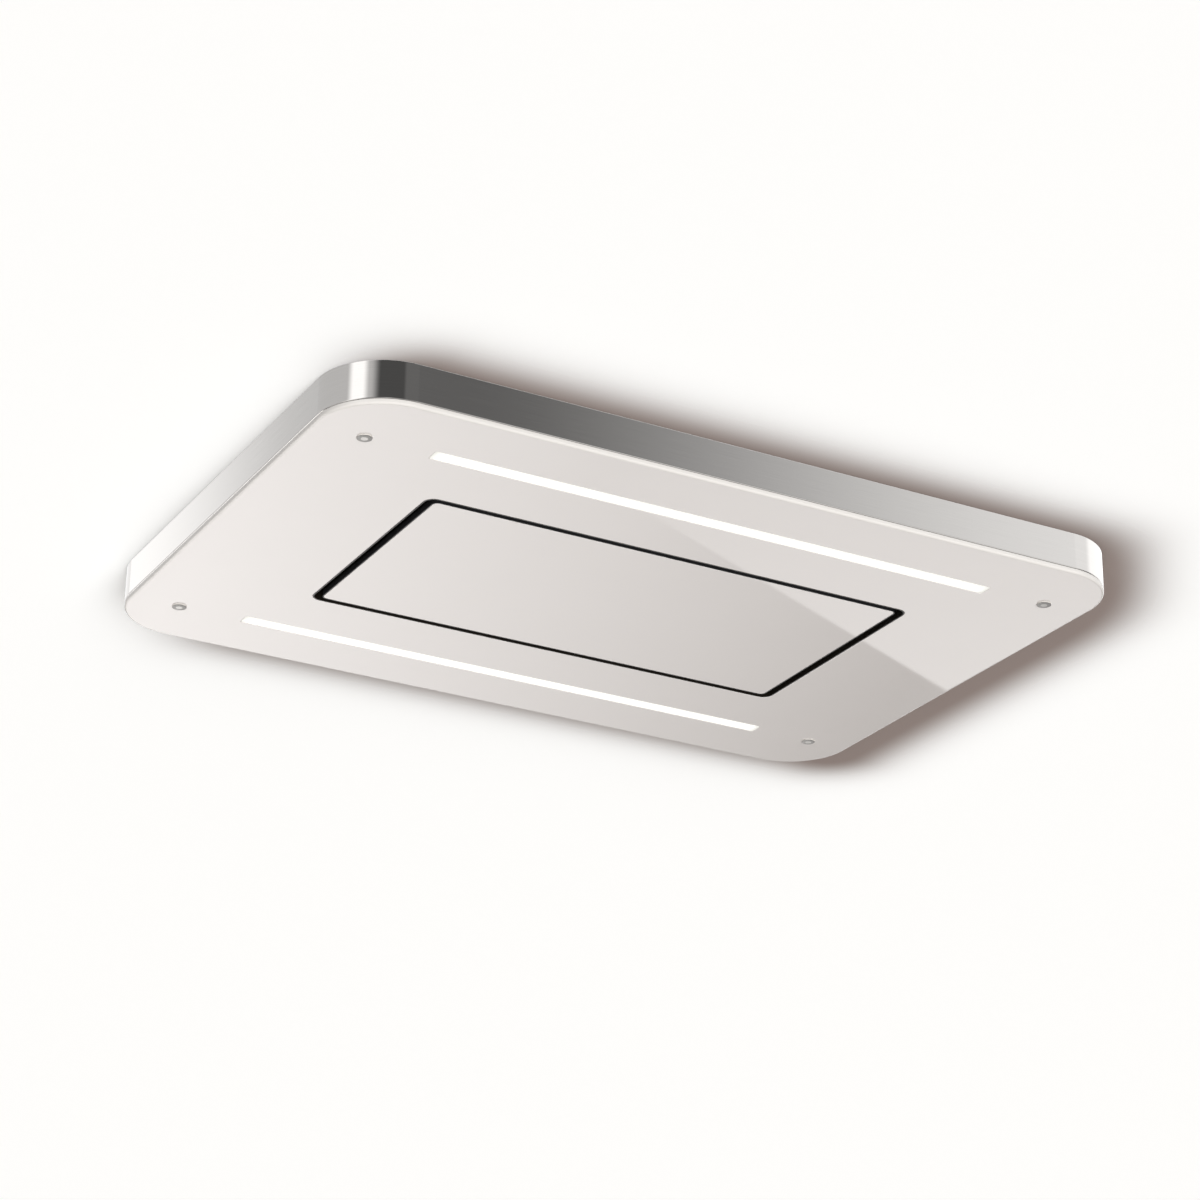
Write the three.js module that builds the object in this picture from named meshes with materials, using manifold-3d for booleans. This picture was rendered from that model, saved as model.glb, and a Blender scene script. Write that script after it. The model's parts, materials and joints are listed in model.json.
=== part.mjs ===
// Ceiling range hood with edge extraction: a flat glass slab under the ceiling, a central panel that
// swings down on a hinge, two grease filters above it, and a recessed fan body above the ceiling.
//
// Millimetres, +Z up. The origin is the centre of the slab in the plane of the ceiling, so the slab
// hangs below z = 0 and the fan body stands above it. X runs along the slab. The panel hinge is on the
// +Y side, its magnetic catches on the -Y side, and the duct leaves towards +X.
import * as THREE from 'three';
import { mergeVertices, toCreasedNormals } from 'three/addons/utils/BufferGeometryUtils.js';
import Module from 'manifold-3d';

const wasm = await Module();
wasm.setup();

// ---------------------------------------------------------------- driving dimensions

// Clearances
const SEAT_GAP = 0.3;              // between two pieces that sit on each other
const PIN_CLEARANCE = 0.3;         // round a pin or shaft, on the radius
const EDGE_CLEARANCE = 1.5;        // round a filter, where it is lifted out

// Glass slab
const SLAB_LENGTH = 1000;
const SLAB_DEPTH = 700;
const SLAB_HEIGHT = 51;
const SLAB_CORNER_RADIUS = 80;
const GLASS_THICKNESS = 6;
const GLASS_ARRIS = 0.8;           // ground bevel on every glass edge
const SHEET = 1.2;                 // folded steel sheet
const RIM_CEILING_RETURN = 12;     // fold of the rim against the ceiling
const RIM_GLASS_RETURN = 15;       // fold of the rim that the glass is bonded to
const PAN_SKIRT = 10;              // turned-down edge of the ceiling pan
const PAN_SLOT_LENGTH = 22;        // screw slots of the pan
const PAN_SLOT_WIDTH = 7;
const PAN_SLOT_PITCH = 360;
const PAN_SLOT_SIDE_DISTANCE = 135;  // from the long edge of the slab to the row of slots

// Opening in the glass and its black sleeve
const OPENING_LENGTH = 633;
const OPENING_DEPTH = 322;
const OPENING_RADIUS = 14;
const SLEEVE_WALL = 1.5;
const SLEEVE_FLANGE = 12;          // outward flange that is screwed up to the pan
const SLEEVE_LEDGE = 8;            // inward ledge that carries the filters
const LEDGE_LEVEL = 8;             // underside of the ledge above the ceiling plane

// Central panel
const PANEL_GAP_ENDS = 13;         // black gap at the short sides
const PANEL_GAP_SIDES = 10;        // black gap at the long sides
const PANEL_RADIUS = 6;
const TRIM_WALL = 1.2;
const TRIM_LIP = 5;                // trim lip behind the glass
const TRAY_INSET = 3;              // tray edge from the glass edge
const TRAY_HEIGHT = 13;
const TRAY_LIP = 6;

// Panel hinges
const HINGE_EDGE_DISTANCE = 60;    // hinge from the short edge of the panel
const HINGE_AXIS_INSET = 29;       // hinge axis from the far edge of the panel
const HINGE_AXIS_RISE = 17;        // hinge axis above the underside of the glass
const HINGE_PIN_DIAMETER = 6;
const HINGE_EYE_WALL = 2.2;
const HANGER_THICKNESS = 3;
const HANGER_LEG_WIDTH = 10;
const HANGER_ARM_HEIGHT = 9.5;
const HANGER_FOOT_LENGTH = 24;
const HANGER_FOOT_HEIGHT = 14;
const HANGER_FOOT_THICKNESS = 2;
const EAR_THICKNESS = 2;
const EAR_SIDE_GAP = 1;            // between an ear and the hanger
const HINGE_BASE_LENGTH = 44;
const HINGE_BASE_WIDTH = 22;
const HINGE_BASE_RADIUS = 3;
const HINGE_BASE_SHEET = 1.5;
const PIN_HEAD = 1.5;              // head of a hinge pin: its height, and its step over the pin
const HINGE_NOTCH_GAP = 3;         // round the hanger, in the far wall of the tray

// Magnetic catches
const CATCH_LENGTH = 34;
const CATCH_DEPTH = 19;
const CATCH_HEIGHT = 12;
const CATCH_RADIUS = 3;
const KEEPER_LENGTH = 30;
const KEEPER_WIDTH = 7;
const KEEPER_THICKNESS = 1.5;

// Light strips
const LED_END_DISTANCE = 143;      // from the short edge of the slab to the end of the strip
const LED_SIDE_DISTANCE = 92.5;    // from the long edge of the slab to the middle of the strip
const LED_WIDTH = 20;
const LED_END_RADIUS = 3;
const LED_COVER_FLANGE = 3.5;
const LED_COVER_FLANGE_THICKNESS = 2;
const LED_CHANNEL_WALL = 1.5;
const LED_CHANNEL_HEIGHT = 16;
const LED_BOARD_WIDTH = 14;
const LED_BOARD_THICKNESS = 1.6;

// Corner studs
const STUD_END_DISTANCE = 60;
const STUD_SIDE_DISTANCE = 90;
const STUD_THREAD_DIAMETER = 6;
const STUD_LENGTH = 34;            // thread above the glass
const STUD_CAP_DIAMETER = 17;
const STUD_CAP_FLAT_DIAMETER = 9;
const STUD_CAP_EDGE = 0.7;
const STUD_CAP_HEIGHT = 1.7;
const SPACER_DIAMETER = 16;

// Electrics inside the slab
const BOX_SIDE_SPACE = 28;         // from each box to the sleeve and to the rim
const CONTROL_BOX_DEPTH = 210;
const DRIVER_BOX_DEPTH = 150;
const BOX_HEIGHT = 32;
const BOX_RADIUS = 6;
const BOX_EAR = 12;
const EAR_HOLE_DIAMETER = 5;

// Filters
const FILTER_THICKNESS = 12;
const FILTER_SHEET = 1;
const FILTER_LIP = 8;
const FILTER_MIDDLE_GAP = 2;
const TONGUE_WIDTH = 22;
const TONGUE_REACH = 7;
const TONGUE_THICKNESS = 1.5;
const TONGUE_SPREAD = 90;          // tongue from the middle of its filter
const PLEAT_COUNT = 18;
const PLEAT_SHEET = 1.6;
const BOLT_WIDTH = 10;
const BOLT_THICKNESS = 3;
const BOLT_REACH = 6;              // bolt beyond the filter frame
const BOLT_TRAVEL = 7;
const BOLT_TAIL = 16;              // bolt behind the frame wall
const GRIP_LENGTH = 6;
const GRIP_DROP = 6;
const GUIDE_WALL = 1.5;
const GUIDE_LENGTH = 28;

// Recessed body
const HOUSING_MARGIN = 13.5;       // from the glass opening to the outside of the body
const HOUSING_FLANGE = 15;
const HOUSING_TOP_FLANGE = 14;
const CASING_SPACE = 8;            // from the fan casing to the body's walls
const PLENUM_HEIGHT = 38;          // from the filters to the fan inlet
const LID_SKIRT = 8;
const BEAD_HEIGHT = 2.5;
const BEAD_WIDTH = 14;
const BEAD_MARGIN = 42;
const BEAD_COUNT = 3;

// Fan
const FAN_OFFSET = -100;           // fan axis from the middle of the slab, along X
const WHEEL_DIAMETER = 190;
const WHEEL_PLATE = 2;
const WHEEL_FLOOR_GAP = 23;        // from the casing floor to the wheel
const WHEEL_COVER_GAP = 19;        // from the wheel to the casing cover
const BLADE_COUNT = 36;
const BLADE_SHEET = 1;
const BLADE_SWEEP = THREE.MathUtils.degToRad(80);
const BLADE_ARC_STEPS = 3;
const HUB_DIAMETER = 22;
const HUB_HEIGHT = 13;
const TONGUE_GAP = 8;              // from the wheel to the start of the spiral
const TONGUE_TURN = THREE.MathUtils.degToRad(60);
const TONGUE_NOSE_RADIUS = 4;
const SPIRAL_GROWTH = 60;          // growth of the spiral's radius in one turn
const SPIRAL_STEPS = 30;
const MOTOR_DIAMETER = 92;
const MOTOR_CUP_GAP = 4;           // round the motor, inside the wheel's cup
const MOTOR_LENGTH = 86;
const MOTOR_FLANGE_DIAMETER = 130;
const MOTOR_FLANGE = 3;
const COVER_HOLE_DIAMETER = 16;    // hole for the motor's leads, inside its flange
const SHAFT_DIAMETER = 8;
const SHAFT_IN_MOTOR = 24;
const INLET_THROAT_DIAMETER = 144;
const INLET_LIP_RADIUS = 12;
const INLET_FLANGE = 14;
const INLET_OVERLAP = 5;           // inlet ring inside the wheel's eye
const INLET_RUNNING_GAP = 1.8;     // between the inlet ring and the turning wheel
const MOUNT_DIAMETER = 18;
const MOUNT_WAIST_DIAMETER = 11;
const MOUNT_HEIGHT = 18;
const MOUNT_SPREAD_X = 74;         // rubber mounts from the fan axis
const MOUNT_SPREAD_Y = 84;

// Duct outlet
const DUCT_DIAMETER = 150;
const DUCT_WALL = 1.2;
const DUCT_LENGTH = 60;
const DUCT_FLANGE = 10;
const DUCT_STOP = 2.5;             // inward bead that the flaps close against
const FLAP_INSET = 12;             // flap axis from the outside of the body
const FLAP_SHEET = 1.2;
const FLAP_EDGE_GAP = 1.5;
const FLAP_PIN_DIAMETER = 4;
const FLAP_EYE_WALL = 1.4;
const FLAP_EYE_GAP = 2;            // between the upper and the lower eye

// Suspension brackets and cable box
const BRACKET_SPREAD = 225;        // brackets from the middle, along X
const BRACKET_WIDTH = 40;
const BRACKET_REACH = 34;
const BRACKET_DROP = 46;
const BRACKET_SHEET = 3;
const BRACKET_TOP_DISTANCE = 40;   // from the top of the body to the bracket
const BRACKET_HOLE_DIAMETER = 9;
const CABLE_BOX_WIDTH = 100;
const CABLE_BOX_HEIGHT = 64;
const CABLE_BOX_DEPTH = 34;
const CABLE_BOX_RADIUS = 5;
const CABLE_BOX_WALL = 2;
const CABLE_BOX_LEVEL = 120;       // middle of the cable box above the ceiling plane
const CABLE_LID_THICKNESS = 3;
const CABLE_HOLE_MARGIN = 2;       // round the cable, where it passes a wall
const GLAND_DIAMETER = 22;
const GLAND_BORE_DIAMETER = 9;
const GLAND_LENGTH = 24;

// ---------------------------------------------------------------- levels and places worked out

const slabBottom = -SLAB_HEIGHT;
const glassTop = slabBottom + GLASS_THICKNESS;
const bandBottom = glassTop + SEAT_GAP;
const bandShelfTop = bandBottom + SHEET;
const panTop = -SHEET - SEAT_GAP;
const panUnderside = panTop - SHEET;
const underPan = panUnderside - SEAT_GAP;

const slabHalfX = SLAB_LENGTH / 2;
const slabHalfY = SLAB_DEPTH / 2;
const openingHalfX = OPENING_LENGTH / 2;
const openingHalfY = OPENING_DEPTH / 2;
const sleeveHalfX = openingHalfX - SEAT_GAP;
const sleeveHalfY = openingHalfY - SEAT_GAP;
const sleeveInnerX = sleeveHalfX - SLEEVE_WALL;
const sleeveInnerY = sleeveHalfY - SLEEVE_WALL;
const ledgeEdgeX = sleeveInnerX - SLEEVE_LEDGE;
const ledgeEdgeY = sleeveInnerY - SLEEVE_LEDGE;
const ledgeTop = LEDGE_LEVEL + SLEEVE_WALL;

const panelHalfX = openingHalfX - PANEL_GAP_ENDS;
const panelHalfY = openingHalfY - PANEL_GAP_SIDES;
const trimTop = bandBottom + TRIM_WALL;
const trayFloor = trimTop + SEAT_GAP;
const trayFloorTop = trayFloor + SHEET;
const trayTop = trayFloor + TRAY_HEIGHT;
const trayHalfX = panelHalfX - TRAY_INSET;
const trayHalfY = panelHalfY - TRAY_INSET;
const hingeX = panelHalfX - HINGE_EDGE_DISTANCE;
const hingeY = panelHalfY - HINGE_AXIS_INSET;
const hingeZ = slabBottom + HINGE_AXIS_RISE;
const hingePinRadius = HINGE_PIN_DIAMETER / 2;
const hingeHoleRadius = hingePinRadius + PIN_CLEARANCE;
const hingeEyeRadius = hingeHoleRadius + HINGE_EYE_WALL;

const ledHalfX = slabHalfX - LED_END_DISTANCE;
const ledY = slabHalfY - LED_SIDE_DISTANCE;
const studX = slabHalfX - STUD_END_DISTANCE;
const studY = slabHalfY - STUD_SIDE_DISTANCE;

const filterBottom = ledgeTop - FILTER_SHEET;
const filterTop = filterBottom + FILTER_THICKNESS;
const filterInnerX = FILTER_MIDDLE_GAP / 2;
const filterHalfX = (ledgeEdgeX - EDGE_CLEARANCE - filterInnerX) / 2;
const filterHalfY = ledgeEdgeY - EDGE_CLEARANCE;
const filterX = filterInnerX + filterHalfX;
const boltBottom = filterBottom + FILTER_SHEET + SEAT_GAP;
const boltTop = boltBottom + BOLT_THICKNESS;

// Levels of the fan, upwards
const inletBottom = filterTop + PLENUM_HEIGHT;
const casingBottom = inletBottom + SHEET + SEAT_GAP;
const casingFloor = casingBottom + SHEET;
const casingTop = casingFloor + DUCT_DIAMETER;
const coverBottom = casingTop + SEAT_GAP;
const coverTop = coverBottom + SHEET;
const mountBottom = coverTop + SEAT_GAP;
const mountTop = mountBottom + MOUNT_HEIGHT;
const housingTop = mountTop;
const lidBottom = housingTop + SEAT_GAP;
const lidTop = lidBottom + SHEET;
const wheelBottom = casingFloor + WHEEL_FLOOR_GAP;
const wheelTop = coverBottom - WHEEL_COVER_GAP;
const motorTop = coverBottom - SEAT_GAP;
const motorBottom = motorTop - MOTOR_LENGTH;
const cupFloorTop = motorBottom - MOTOR_CUP_GAP;
const cupFloor = cupFloorTop - WHEEL_PLATE;

// Spiral casing: lowest and highest wall decide where the fan axis lies across the body
const wheelRadius = WHEEL_DIAMETER / 2;
const shroudBore = INLET_THROAT_DIAMETER / 2 + SHEET + INLET_RUNNING_GAP;
const eyeRadius = shroudBore + BLADE_SHEET;
const spiralStart = wheelRadius + TONGUE_GAP;
const spiralEnd = spiralStart + SPIRAL_GROWTH;
const spiralHalfWay = spiralStart + SPIRAL_GROWTH / 2;
const casingHalfY = (spiralEnd + spiralHalfWay) / 2 + SHEET;
const fanX = FAN_OFFSET;
const fanY = (spiralEnd - spiralHalfWay) / 2;
const mouthLow = fanY - spiralEnd;
const mouthHigh = mouthLow + DUCT_DIAMETER;
const ductY = (mouthLow + mouthHigh) / 2;
const ductZ = (casingFloor + casingTop) / 2;

const spiralLeft = spiralStart + SPIRAL_GROWTH * 0.75 + SHEET;
const housingHalfX = Math.max(openingHalfX + HOUSING_MARGIN, spiralLeft - fanX + CASING_SPACE + SHEET);
const housingHalfY = Math.max(openingHalfY + HOUSING_MARGIN, casingHalfY + CASING_SPACE + SHEET);
const mouthX = housingHalfX - SHEET - SEAT_GAP;

const ductRadius = DUCT_DIAMETER / 2;
const ductBore = ductRadius - DUCT_WALL;
const ductStart = housingHalfX + SEAT_GAP;
const ductEnd = ductStart + DUCT_LENGTH;
const flapX = housingHalfX + FLAP_INSET;
const flapPinRadius = FLAP_PIN_DIAMETER / 2;
const flapHoleRadius = flapPinRadius + PIN_CLEARANCE;
const flapEyeRadius = flapHoleRadius + FLAP_EYE_WALL;

// ---------------------------------------------------------------- materials

function finish(color, roughness, metalness) {
  return new THREE.MeshStandardMaterial({ color, roughness, metalness });
}

const finishes = {
  whiteGlass: finish(0xe6e2de, 0.08, 0),
  polishedSteel: finish(0xc9c8c8, 0.18, 1),
  zincSteel: finish(0xb4b8ba, 0.42, 0.9),
  blackSteel: finish(0x16130f, 0.45, 0.3),
  opalCover: finish(0xfffffd, 0.5, 0),
  aluminium: finish(0xc4c7ca, 0.35, 0.9),
  circuitBoard: finish(0xf2f2ee, 0.5, 0),
  greyPlastic: finish(0x5a5c5e, 0.5, 0),
  blackPlastic: finish(0x1d1d1e, 0.5, 0),
  wheelPlastic: finish(0x2b2d2f, 0.45, 0),
  blackRubber: finish(0x1a1a1a, 0.8, 0),
  pinSteel: finish(0xa8a9aa, 0.25, 1),
  magnet: finish(0x3a3b3c, 0.4, 0.4),
};

// ---------------------------------------------------------------- shape helpers

// Points of an arc round (cx, cy), counter-clockwise, angles in quarter turns
function arcPoints(radius, steps, fromQuarter, toQuarter, cx, cy) {
  const points = [];
  for (let step = 0; step <= steps; step += 1) {
    const angle = (fromQuarter + (toQuarter - fromQuarter) * step / steps) * Math.PI / 2;
    points.push([cx + radius * Math.cos(angle), cy + radius * Math.sin(angle)]);
  }
  return points;
}

// Rounded rectangle round (cx, cy), counter-clockwise. A radius of 0 gives sharp corners.
function roundedRect(halfX, halfY, radius, steps = 4, cx = 0, cy = 0) {
  const corners = [[1, 1], [-1, 1], [-1, -1], [1, -1]];
  return corners.flatMap(([sideX, sideY], quarter) => {
    const x = cx + sideX * (halfX - radius);
    const y = cy + sideY * (halfY - radius);
    return radius > 0 ? arcPoints(radius, steps, quarter, quarter + 1, x, y) : [[x, y]];
  });
}

function circle(radius, steps, cx = 0, cy = 0) {
  return arcPoints(radius, steps, 0, 4, cx, cy).slice(1);
}

// A shape from the points of its outline and of its holes
function outline(points, ...holes) {
  const toVectors = (list) => list.map(([x, y]) => new THREE.Vector2(x, y));
  const shape = new THREE.Shape(toVectors(points));
  shape.holes = holes.map((hole) => new THREE.Path(toVectors(hole)));
  return shape;
}

// A flat shape drawn from above, from one level to another
function plate(shape, bottom, top, curveSegments) {
  const settings = { depth: top - bottom, bevelEnabled: false, curveSegments };
  return new THREE.ExtrudeGeometry(shape, settings).translate(0, 0, bottom);
}

// The same with a ground bevel on every edge
function arrisedPlate(shape, bottom, top, arris) {
  const settings = {
    depth: top - bottom - 2 * arris,
    bevelThickness: arris,
    bevelSize: arris,
    bevelOffset: -arris,
    bevelSegments: 1,
  };
  return new THREE.ExtrudeGeometry(shape, settings).translate(0, 0, bottom + arris);
}

// A shape drawn in (y, z), carried along X
function alongX(shape, from, to, curveSegments) {
  const turn = new THREE.Matrix4().makeBasis(
    new THREE.Vector3(0, 1, 0), new THREE.Vector3(0, 0, 1), new THREE.Vector3(1, 0, 0));
  return plate(shape, from, to, curveSegments).applyMatrix4(turn);
}

// A shape drawn in (x, z), carried along Y
function alongY(shape, from, to) {
  const turn = new THREE.Matrix4().makeBasis(
    new THREE.Vector3(1, 0, 0), new THREE.Vector3(0, 0, 1), new THREE.Vector3(0, -1, 0));
  return plate(shape, -to, -from).applyMatrix4(turn);
}

// An upright box between two corners
function block(x0, x1, y0, y1, z0, z1) {
  const middle = [(x0 + x1) / 2, (y0 + y1) / 2, (z0 + z1) / 2];
  return new THREE.BoxGeometry(x1 - x0, y1 - y0, z1 - z0).translate(...middle);
}

// A profile of [radius, height] turned about Z. It runs counter-clockwise and closes on itself or
// starts and ends on the axis.
function turned(profile, segments) {
  const points = profile.map(([radius, height]) => new THREE.Vector2(radius, height));
  return new THREE.LatheGeometry(points, segments).rotateX(Math.PI / 2);
}

// A closed profile of [inward, height] carried round a rounded rectangle, clockwise: up the outside,
// across the top and down the inside. A radius of 0 gives mitred corners.
function ringBand(halfX, halfY, radius, profile, arcSteps = 6) {
  const stations = [];
  const corners = [[1, 1], [-1, 1], [-1, -1], [1, -1]];
  corners.forEach(([sideX, sideY], quarter) => {
    const x = sideX * (halfX - radius);
    const y = sideY * (halfY - radius);
    const mitre = [[sideX, sideY]];
    const round = arcPoints(1, arcSteps, quarter, quarter + 1, 0, 0);
    for (const [dx, dy] of radius > 0 ? round : mitre) stations.push({ x, y, dx, dy });
  });
  const positions = [];
  for (const { x, y, dx, dy } of stations) {
    for (const [inward, height] of profile) {
      const reach = radius - inward;
      positions.push(x + reach * dx, y + reach * dy, height);
    }
  }
  const index = [];
  const count = profile.length;
  stations.forEach((station, i) => {
    const next = (i + 1) % stations.length;
    for (let j = 0; j < count; j += 1) {
      const after = (j + 1) % count;
      const corner = [i * count + j, next * count + j, next * count + after, i * count + after];
      index.push(corner[0], corner[1], corner[2], corner[0], corner[2], corner[3]);
    }
  });
  const geometry = new THREE.BufferGeometry();
  geometry.setAttribute('position', new THREE.Float32BufferAttribute(positions, 3));
  geometry.setIndex(index);
  return geometry;
}

// Shared vertices merged and triangles without area left out
function weld(geometry) {
  const bare = geometry.clone();
  bare.deleteAttribute('normal');
  bare.deleteAttribute('uv');
  const merged = mergeVertices(bare);
  const kept = [];
  const all = merged.index.array;
  for (let i = 0; i < all.length; i += 3) {
    const [a, b, c] = [all[i], all[i + 1], all[i + 2]];
    if (a !== b && b !== c && c !== a) kept.push(a, b, c);
  }
  merged.setIndex(kept);
  return merged;
}

function toSolid(geometry) {
  const merged = weld(geometry);
  return new wasm.Manifold(new wasm.Mesh({
    numProp: 3,
    vertProperties: Float32Array.from(merged.attributes.position.array),
    triVerts: Uint32Array.from(merged.index.array),
  }));
}

function toGeometry(solid) {
  const { vertProperties, triVerts } = solid.getMesh();
  const geometry = new THREE.BufferGeometry();
  geometry.setAttribute('position', new THREE.BufferAttribute(Float32Array.from(vertProperties), 3));
  geometry.setIndex(new THREE.BufferAttribute(Uint32Array.from(triVerts), 1));
  return geometry;
}

function join(...pieces) {
  return toGeometry(pieces.map(toSolid).reduce((sum, piece) => sum.add(piece)));
}

function cut(body, ...tools) {
  return toGeometry(tools.map(toSolid).reduce((rest, tool) => rest.subtract(tool), toSolid(body)));
}

const group = new THREE.Group();
const CREASE = THREE.MathUtils.degToRad(35);

// Adds a named piece to the model and returns its mesh
function add(name, geometry, material, x = 0, y = 0, z = 0) {
  const mesh = new THREE.Mesh(toCreasedNormals(weld(geometry), CREASE), material);
  mesh.name = name;
  mesh.position.set(x, y, z);
  group.add(mesh);
  return mesh;
}

const ENDS = [['left', -1], ['right', 1]];
const SIDES = [['near', -1], ['far', 1]];

// ---------------------------------------------------------------- slab

const CORNER_STEPS = 10;           // facets in each corner of the slab
const OPENING_STEPS = 5;           // facets in each corner of the opening

function outerGlass() {
  const holes = [roundedRect(openingHalfX, openingHalfY, OPENING_RADIUS, OPENING_STEPS)];
  for (const [, side] of SIDES) {
    holes.push(roundedRect(ledHalfX, LED_WIDTH / 2, LED_END_RADIUS, 2, 0, side * ledY));
    for (const [, end] of ENDS) {
      const radius = STUD_THREAD_DIAMETER / 2 + PIN_CLEARANCE;
      holes.push(circle(radius, 8, end * studX, side * studY));
    }
  }
  const edge = roundedRect(slabHalfX, slabHalfY, SLAB_CORNER_RADIUS, CORNER_STEPS);
  return arrisedPlate(outline(edge, ...holes), slabBottom, glassTop, GLASS_ARRIS);
}

function rimBand() {
  return ringBand(slabHalfX, slabHalfY, SLAB_CORNER_RADIUS, [
    [0, bandBottom],
    [0, 0],
    [RIM_CEILING_RETURN, 0],
    [RIM_CEILING_RETURN, -SHEET],
    [SHEET, -SHEET],
    [SHEET, bandShelfTop],
    [RIM_GLASS_RETURN, bandShelfTop],
    [RIM_GLASS_RETURN, bandBottom],
  ], CORNER_STEPS);
}

// Spacer tube that stands under the pan and takes the thread of a stud
function studSpacer() {
  const bore = STUD_THREAD_DIAMETER / 2 + PIN_CLEARANCE;
  return turned([
    [bore, bandBottom],
    [SPACER_DIAMETER / 2, bandBottom],
    [SPACER_DIAMETER / 2, panUnderside],
    [bore, panUnderside],
    [bore, bandBottom],
  ], 10);
}

// The pan closes the top of the slab and is screwed to the ceiling. The stud spacers are welded to it.
function ceilingPan() {
  const inset = SHEET + SEAT_GAP;
  const halfX = slabHalfX - inset;
  const halfY = slabHalfY - inset;
  const radius = SLAB_CORNER_RADIUS - inset;
  const holes = [roundedRect(openingHalfX, openingHalfY, OPENING_RADIUS, OPENING_STEPS)];
  const slotY = slabHalfY - PAN_SLOT_SIDE_DISTANCE;
  for (const [, side] of SIDES) {
    for (const column of [-1, 0, 1]) {
      holes.push(roundedRect(PAN_SLOT_LENGTH / 2, PAN_SLOT_WIDTH / 2, PAN_SLOT_WIDTH / 2 * 0.98, 2,
        column * PAN_SLOT_PITCH, side * slotY));
    }
  }
  const sheet = outline(roundedRect(halfX, halfY, radius, CORNER_STEPS), ...holes);
  const skirt = ringBand(halfX, halfY, radius, [
    [0, panTop - PAN_SKIRT],
    [0, panTop],
    [SHEET, panTop],
    [SHEET, panTop - PAN_SKIRT],
  ], CORNER_STEPS);
  const spacers = SIDES.flatMap(([, side]) => ENDS.map(([, end]) => (
    studSpacer().translate(end * studX, side * studY, 0))));
  return join(plate(sheet, panUnderside, panTop), skirt, ...spacers);
}

// Black sleeve through the opening: flange under the pan, ledge for the filters at its top
function throatSleeve() {
  return ringBand(sleeveHalfX, sleeveHalfY, OPENING_RADIUS - SEAT_GAP, [
    [0, slabBottom],
    [0, underPan - SHEET],
    [-SLEEVE_FLANGE, underPan - SHEET],
    [-SLEEVE_FLANGE, underPan],
    [0, underPan],
    [0, ledgeTop],
    [SLEEVE_WALL + SLEEVE_LEDGE, ledgeTop],
    [SLEEVE_WALL + SLEEVE_LEDGE, LEDGE_LEVEL],
    [SLEEVE_WALL, LEDGE_LEVEL],
    [SLEEVE_WALL, slabBottom],
  ], OPENING_STEPS);
}

// Stud: domed cap under the glass with a flat face, and its thread up into the spacer
function glassStud() {
  const capTop = slabBottom - SEAT_GAP;
  const capRadius = STUD_CAP_DIAMETER / 2;
  return turned([
    [0, capTop - STUD_CAP_HEIGHT],
    [STUD_CAP_FLAT_DIAMETER / 2, capTop - STUD_CAP_HEIGHT],
    [capRadius, capTop - STUD_CAP_EDGE],
    [capRadius, capTop],
    [STUD_THREAD_DIAMETER / 2, capTop],
    [STUD_THREAD_DIAMETER / 2, capTop + STUD_LENGTH],
    [0, capTop + STUD_LENGTH],
  ], 12);
}

// Light strip: opal cover flush in the glass slot, aluminium channel over it, board in the channel
const coverHalfWidth = LED_WIDTH / 2 + LED_COVER_FLANGE;
const channelInner = coverHalfWidth + SEAT_GAP;
const channelOuter = channelInner + LED_CHANNEL_WALL;
const channelTop = bandBottom + LED_CHANNEL_HEIGHT;
const channelCeiling = channelTop - LED_CHANNEL_WALL;

function ledCover() {
  const gap = SEAT_GAP;
  const neck = roundedRect(ledHalfX - gap, LED_WIDTH / 2 - gap, LED_END_RADIUS - gap, 2);
  const flange = roundedRect(ledHalfX + LED_COVER_FLANGE, coverHalfWidth, LED_END_RADIUS, 2);
  const flangeTop = bandBottom + LED_COVER_FLANGE_THICKNESS;
  return join(plate(outline(neck), slabBottom, flangeTop), plate(outline(flange), bandBottom, flangeTop));
}

function ledChannel() {
  const section = outline([
    [channelInner, bandBottom],
    [channelOuter, bandBottom],
    [channelOuter, channelTop],
    [-channelOuter, channelTop],
    [-channelOuter, bandBottom],
    [-channelInner, bandBottom],
    [-channelInner, channelCeiling],
    [channelInner, channelCeiling],
  ]);
  const end = ledHalfX + LED_COVER_FLANGE;
  return alongX(section, -end, end);
}

function ledBoard() {
  const top = channelCeiling - SEAT_GAP;
  const half = LED_BOARD_WIDTH / 2;
  return block(-ledHalfX, ledHalfX, -half, half, top - LED_BOARD_THICKNESS, top);
}

// Closed electrics box that hangs from the pan, with a screw ear at each end
const boxInner = sleeveHalfX + SLEEVE_FLANGE + BOX_SIDE_SPACE;
const boxOuter = slabHalfX - RIM_GLASS_RETURN - BOX_SIDE_SPACE;
const boxX = (boxInner + boxOuter) / 2;
const boxHalfX = (boxOuter - boxInner) / 2;

function electricsBox(depth) {
  const body = outline(roundedRect(boxHalfX, depth / 2, BOX_RADIUS));
  const holes = SIDES.map(([, side]) => circle(EAR_HOLE_DIAMETER / 2, 10, 0, side * (depth + BOX_EAR) / 2));
  const ears = outline(roundedRect(boxHalfX / 2, depth / 2 + BOX_EAR, BOX_RADIUS), ...holes);
  return join(plate(body, underPan - BOX_HEIGHT, underPan), plate(ears, underPan - SHEET, underPan));
}

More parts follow.
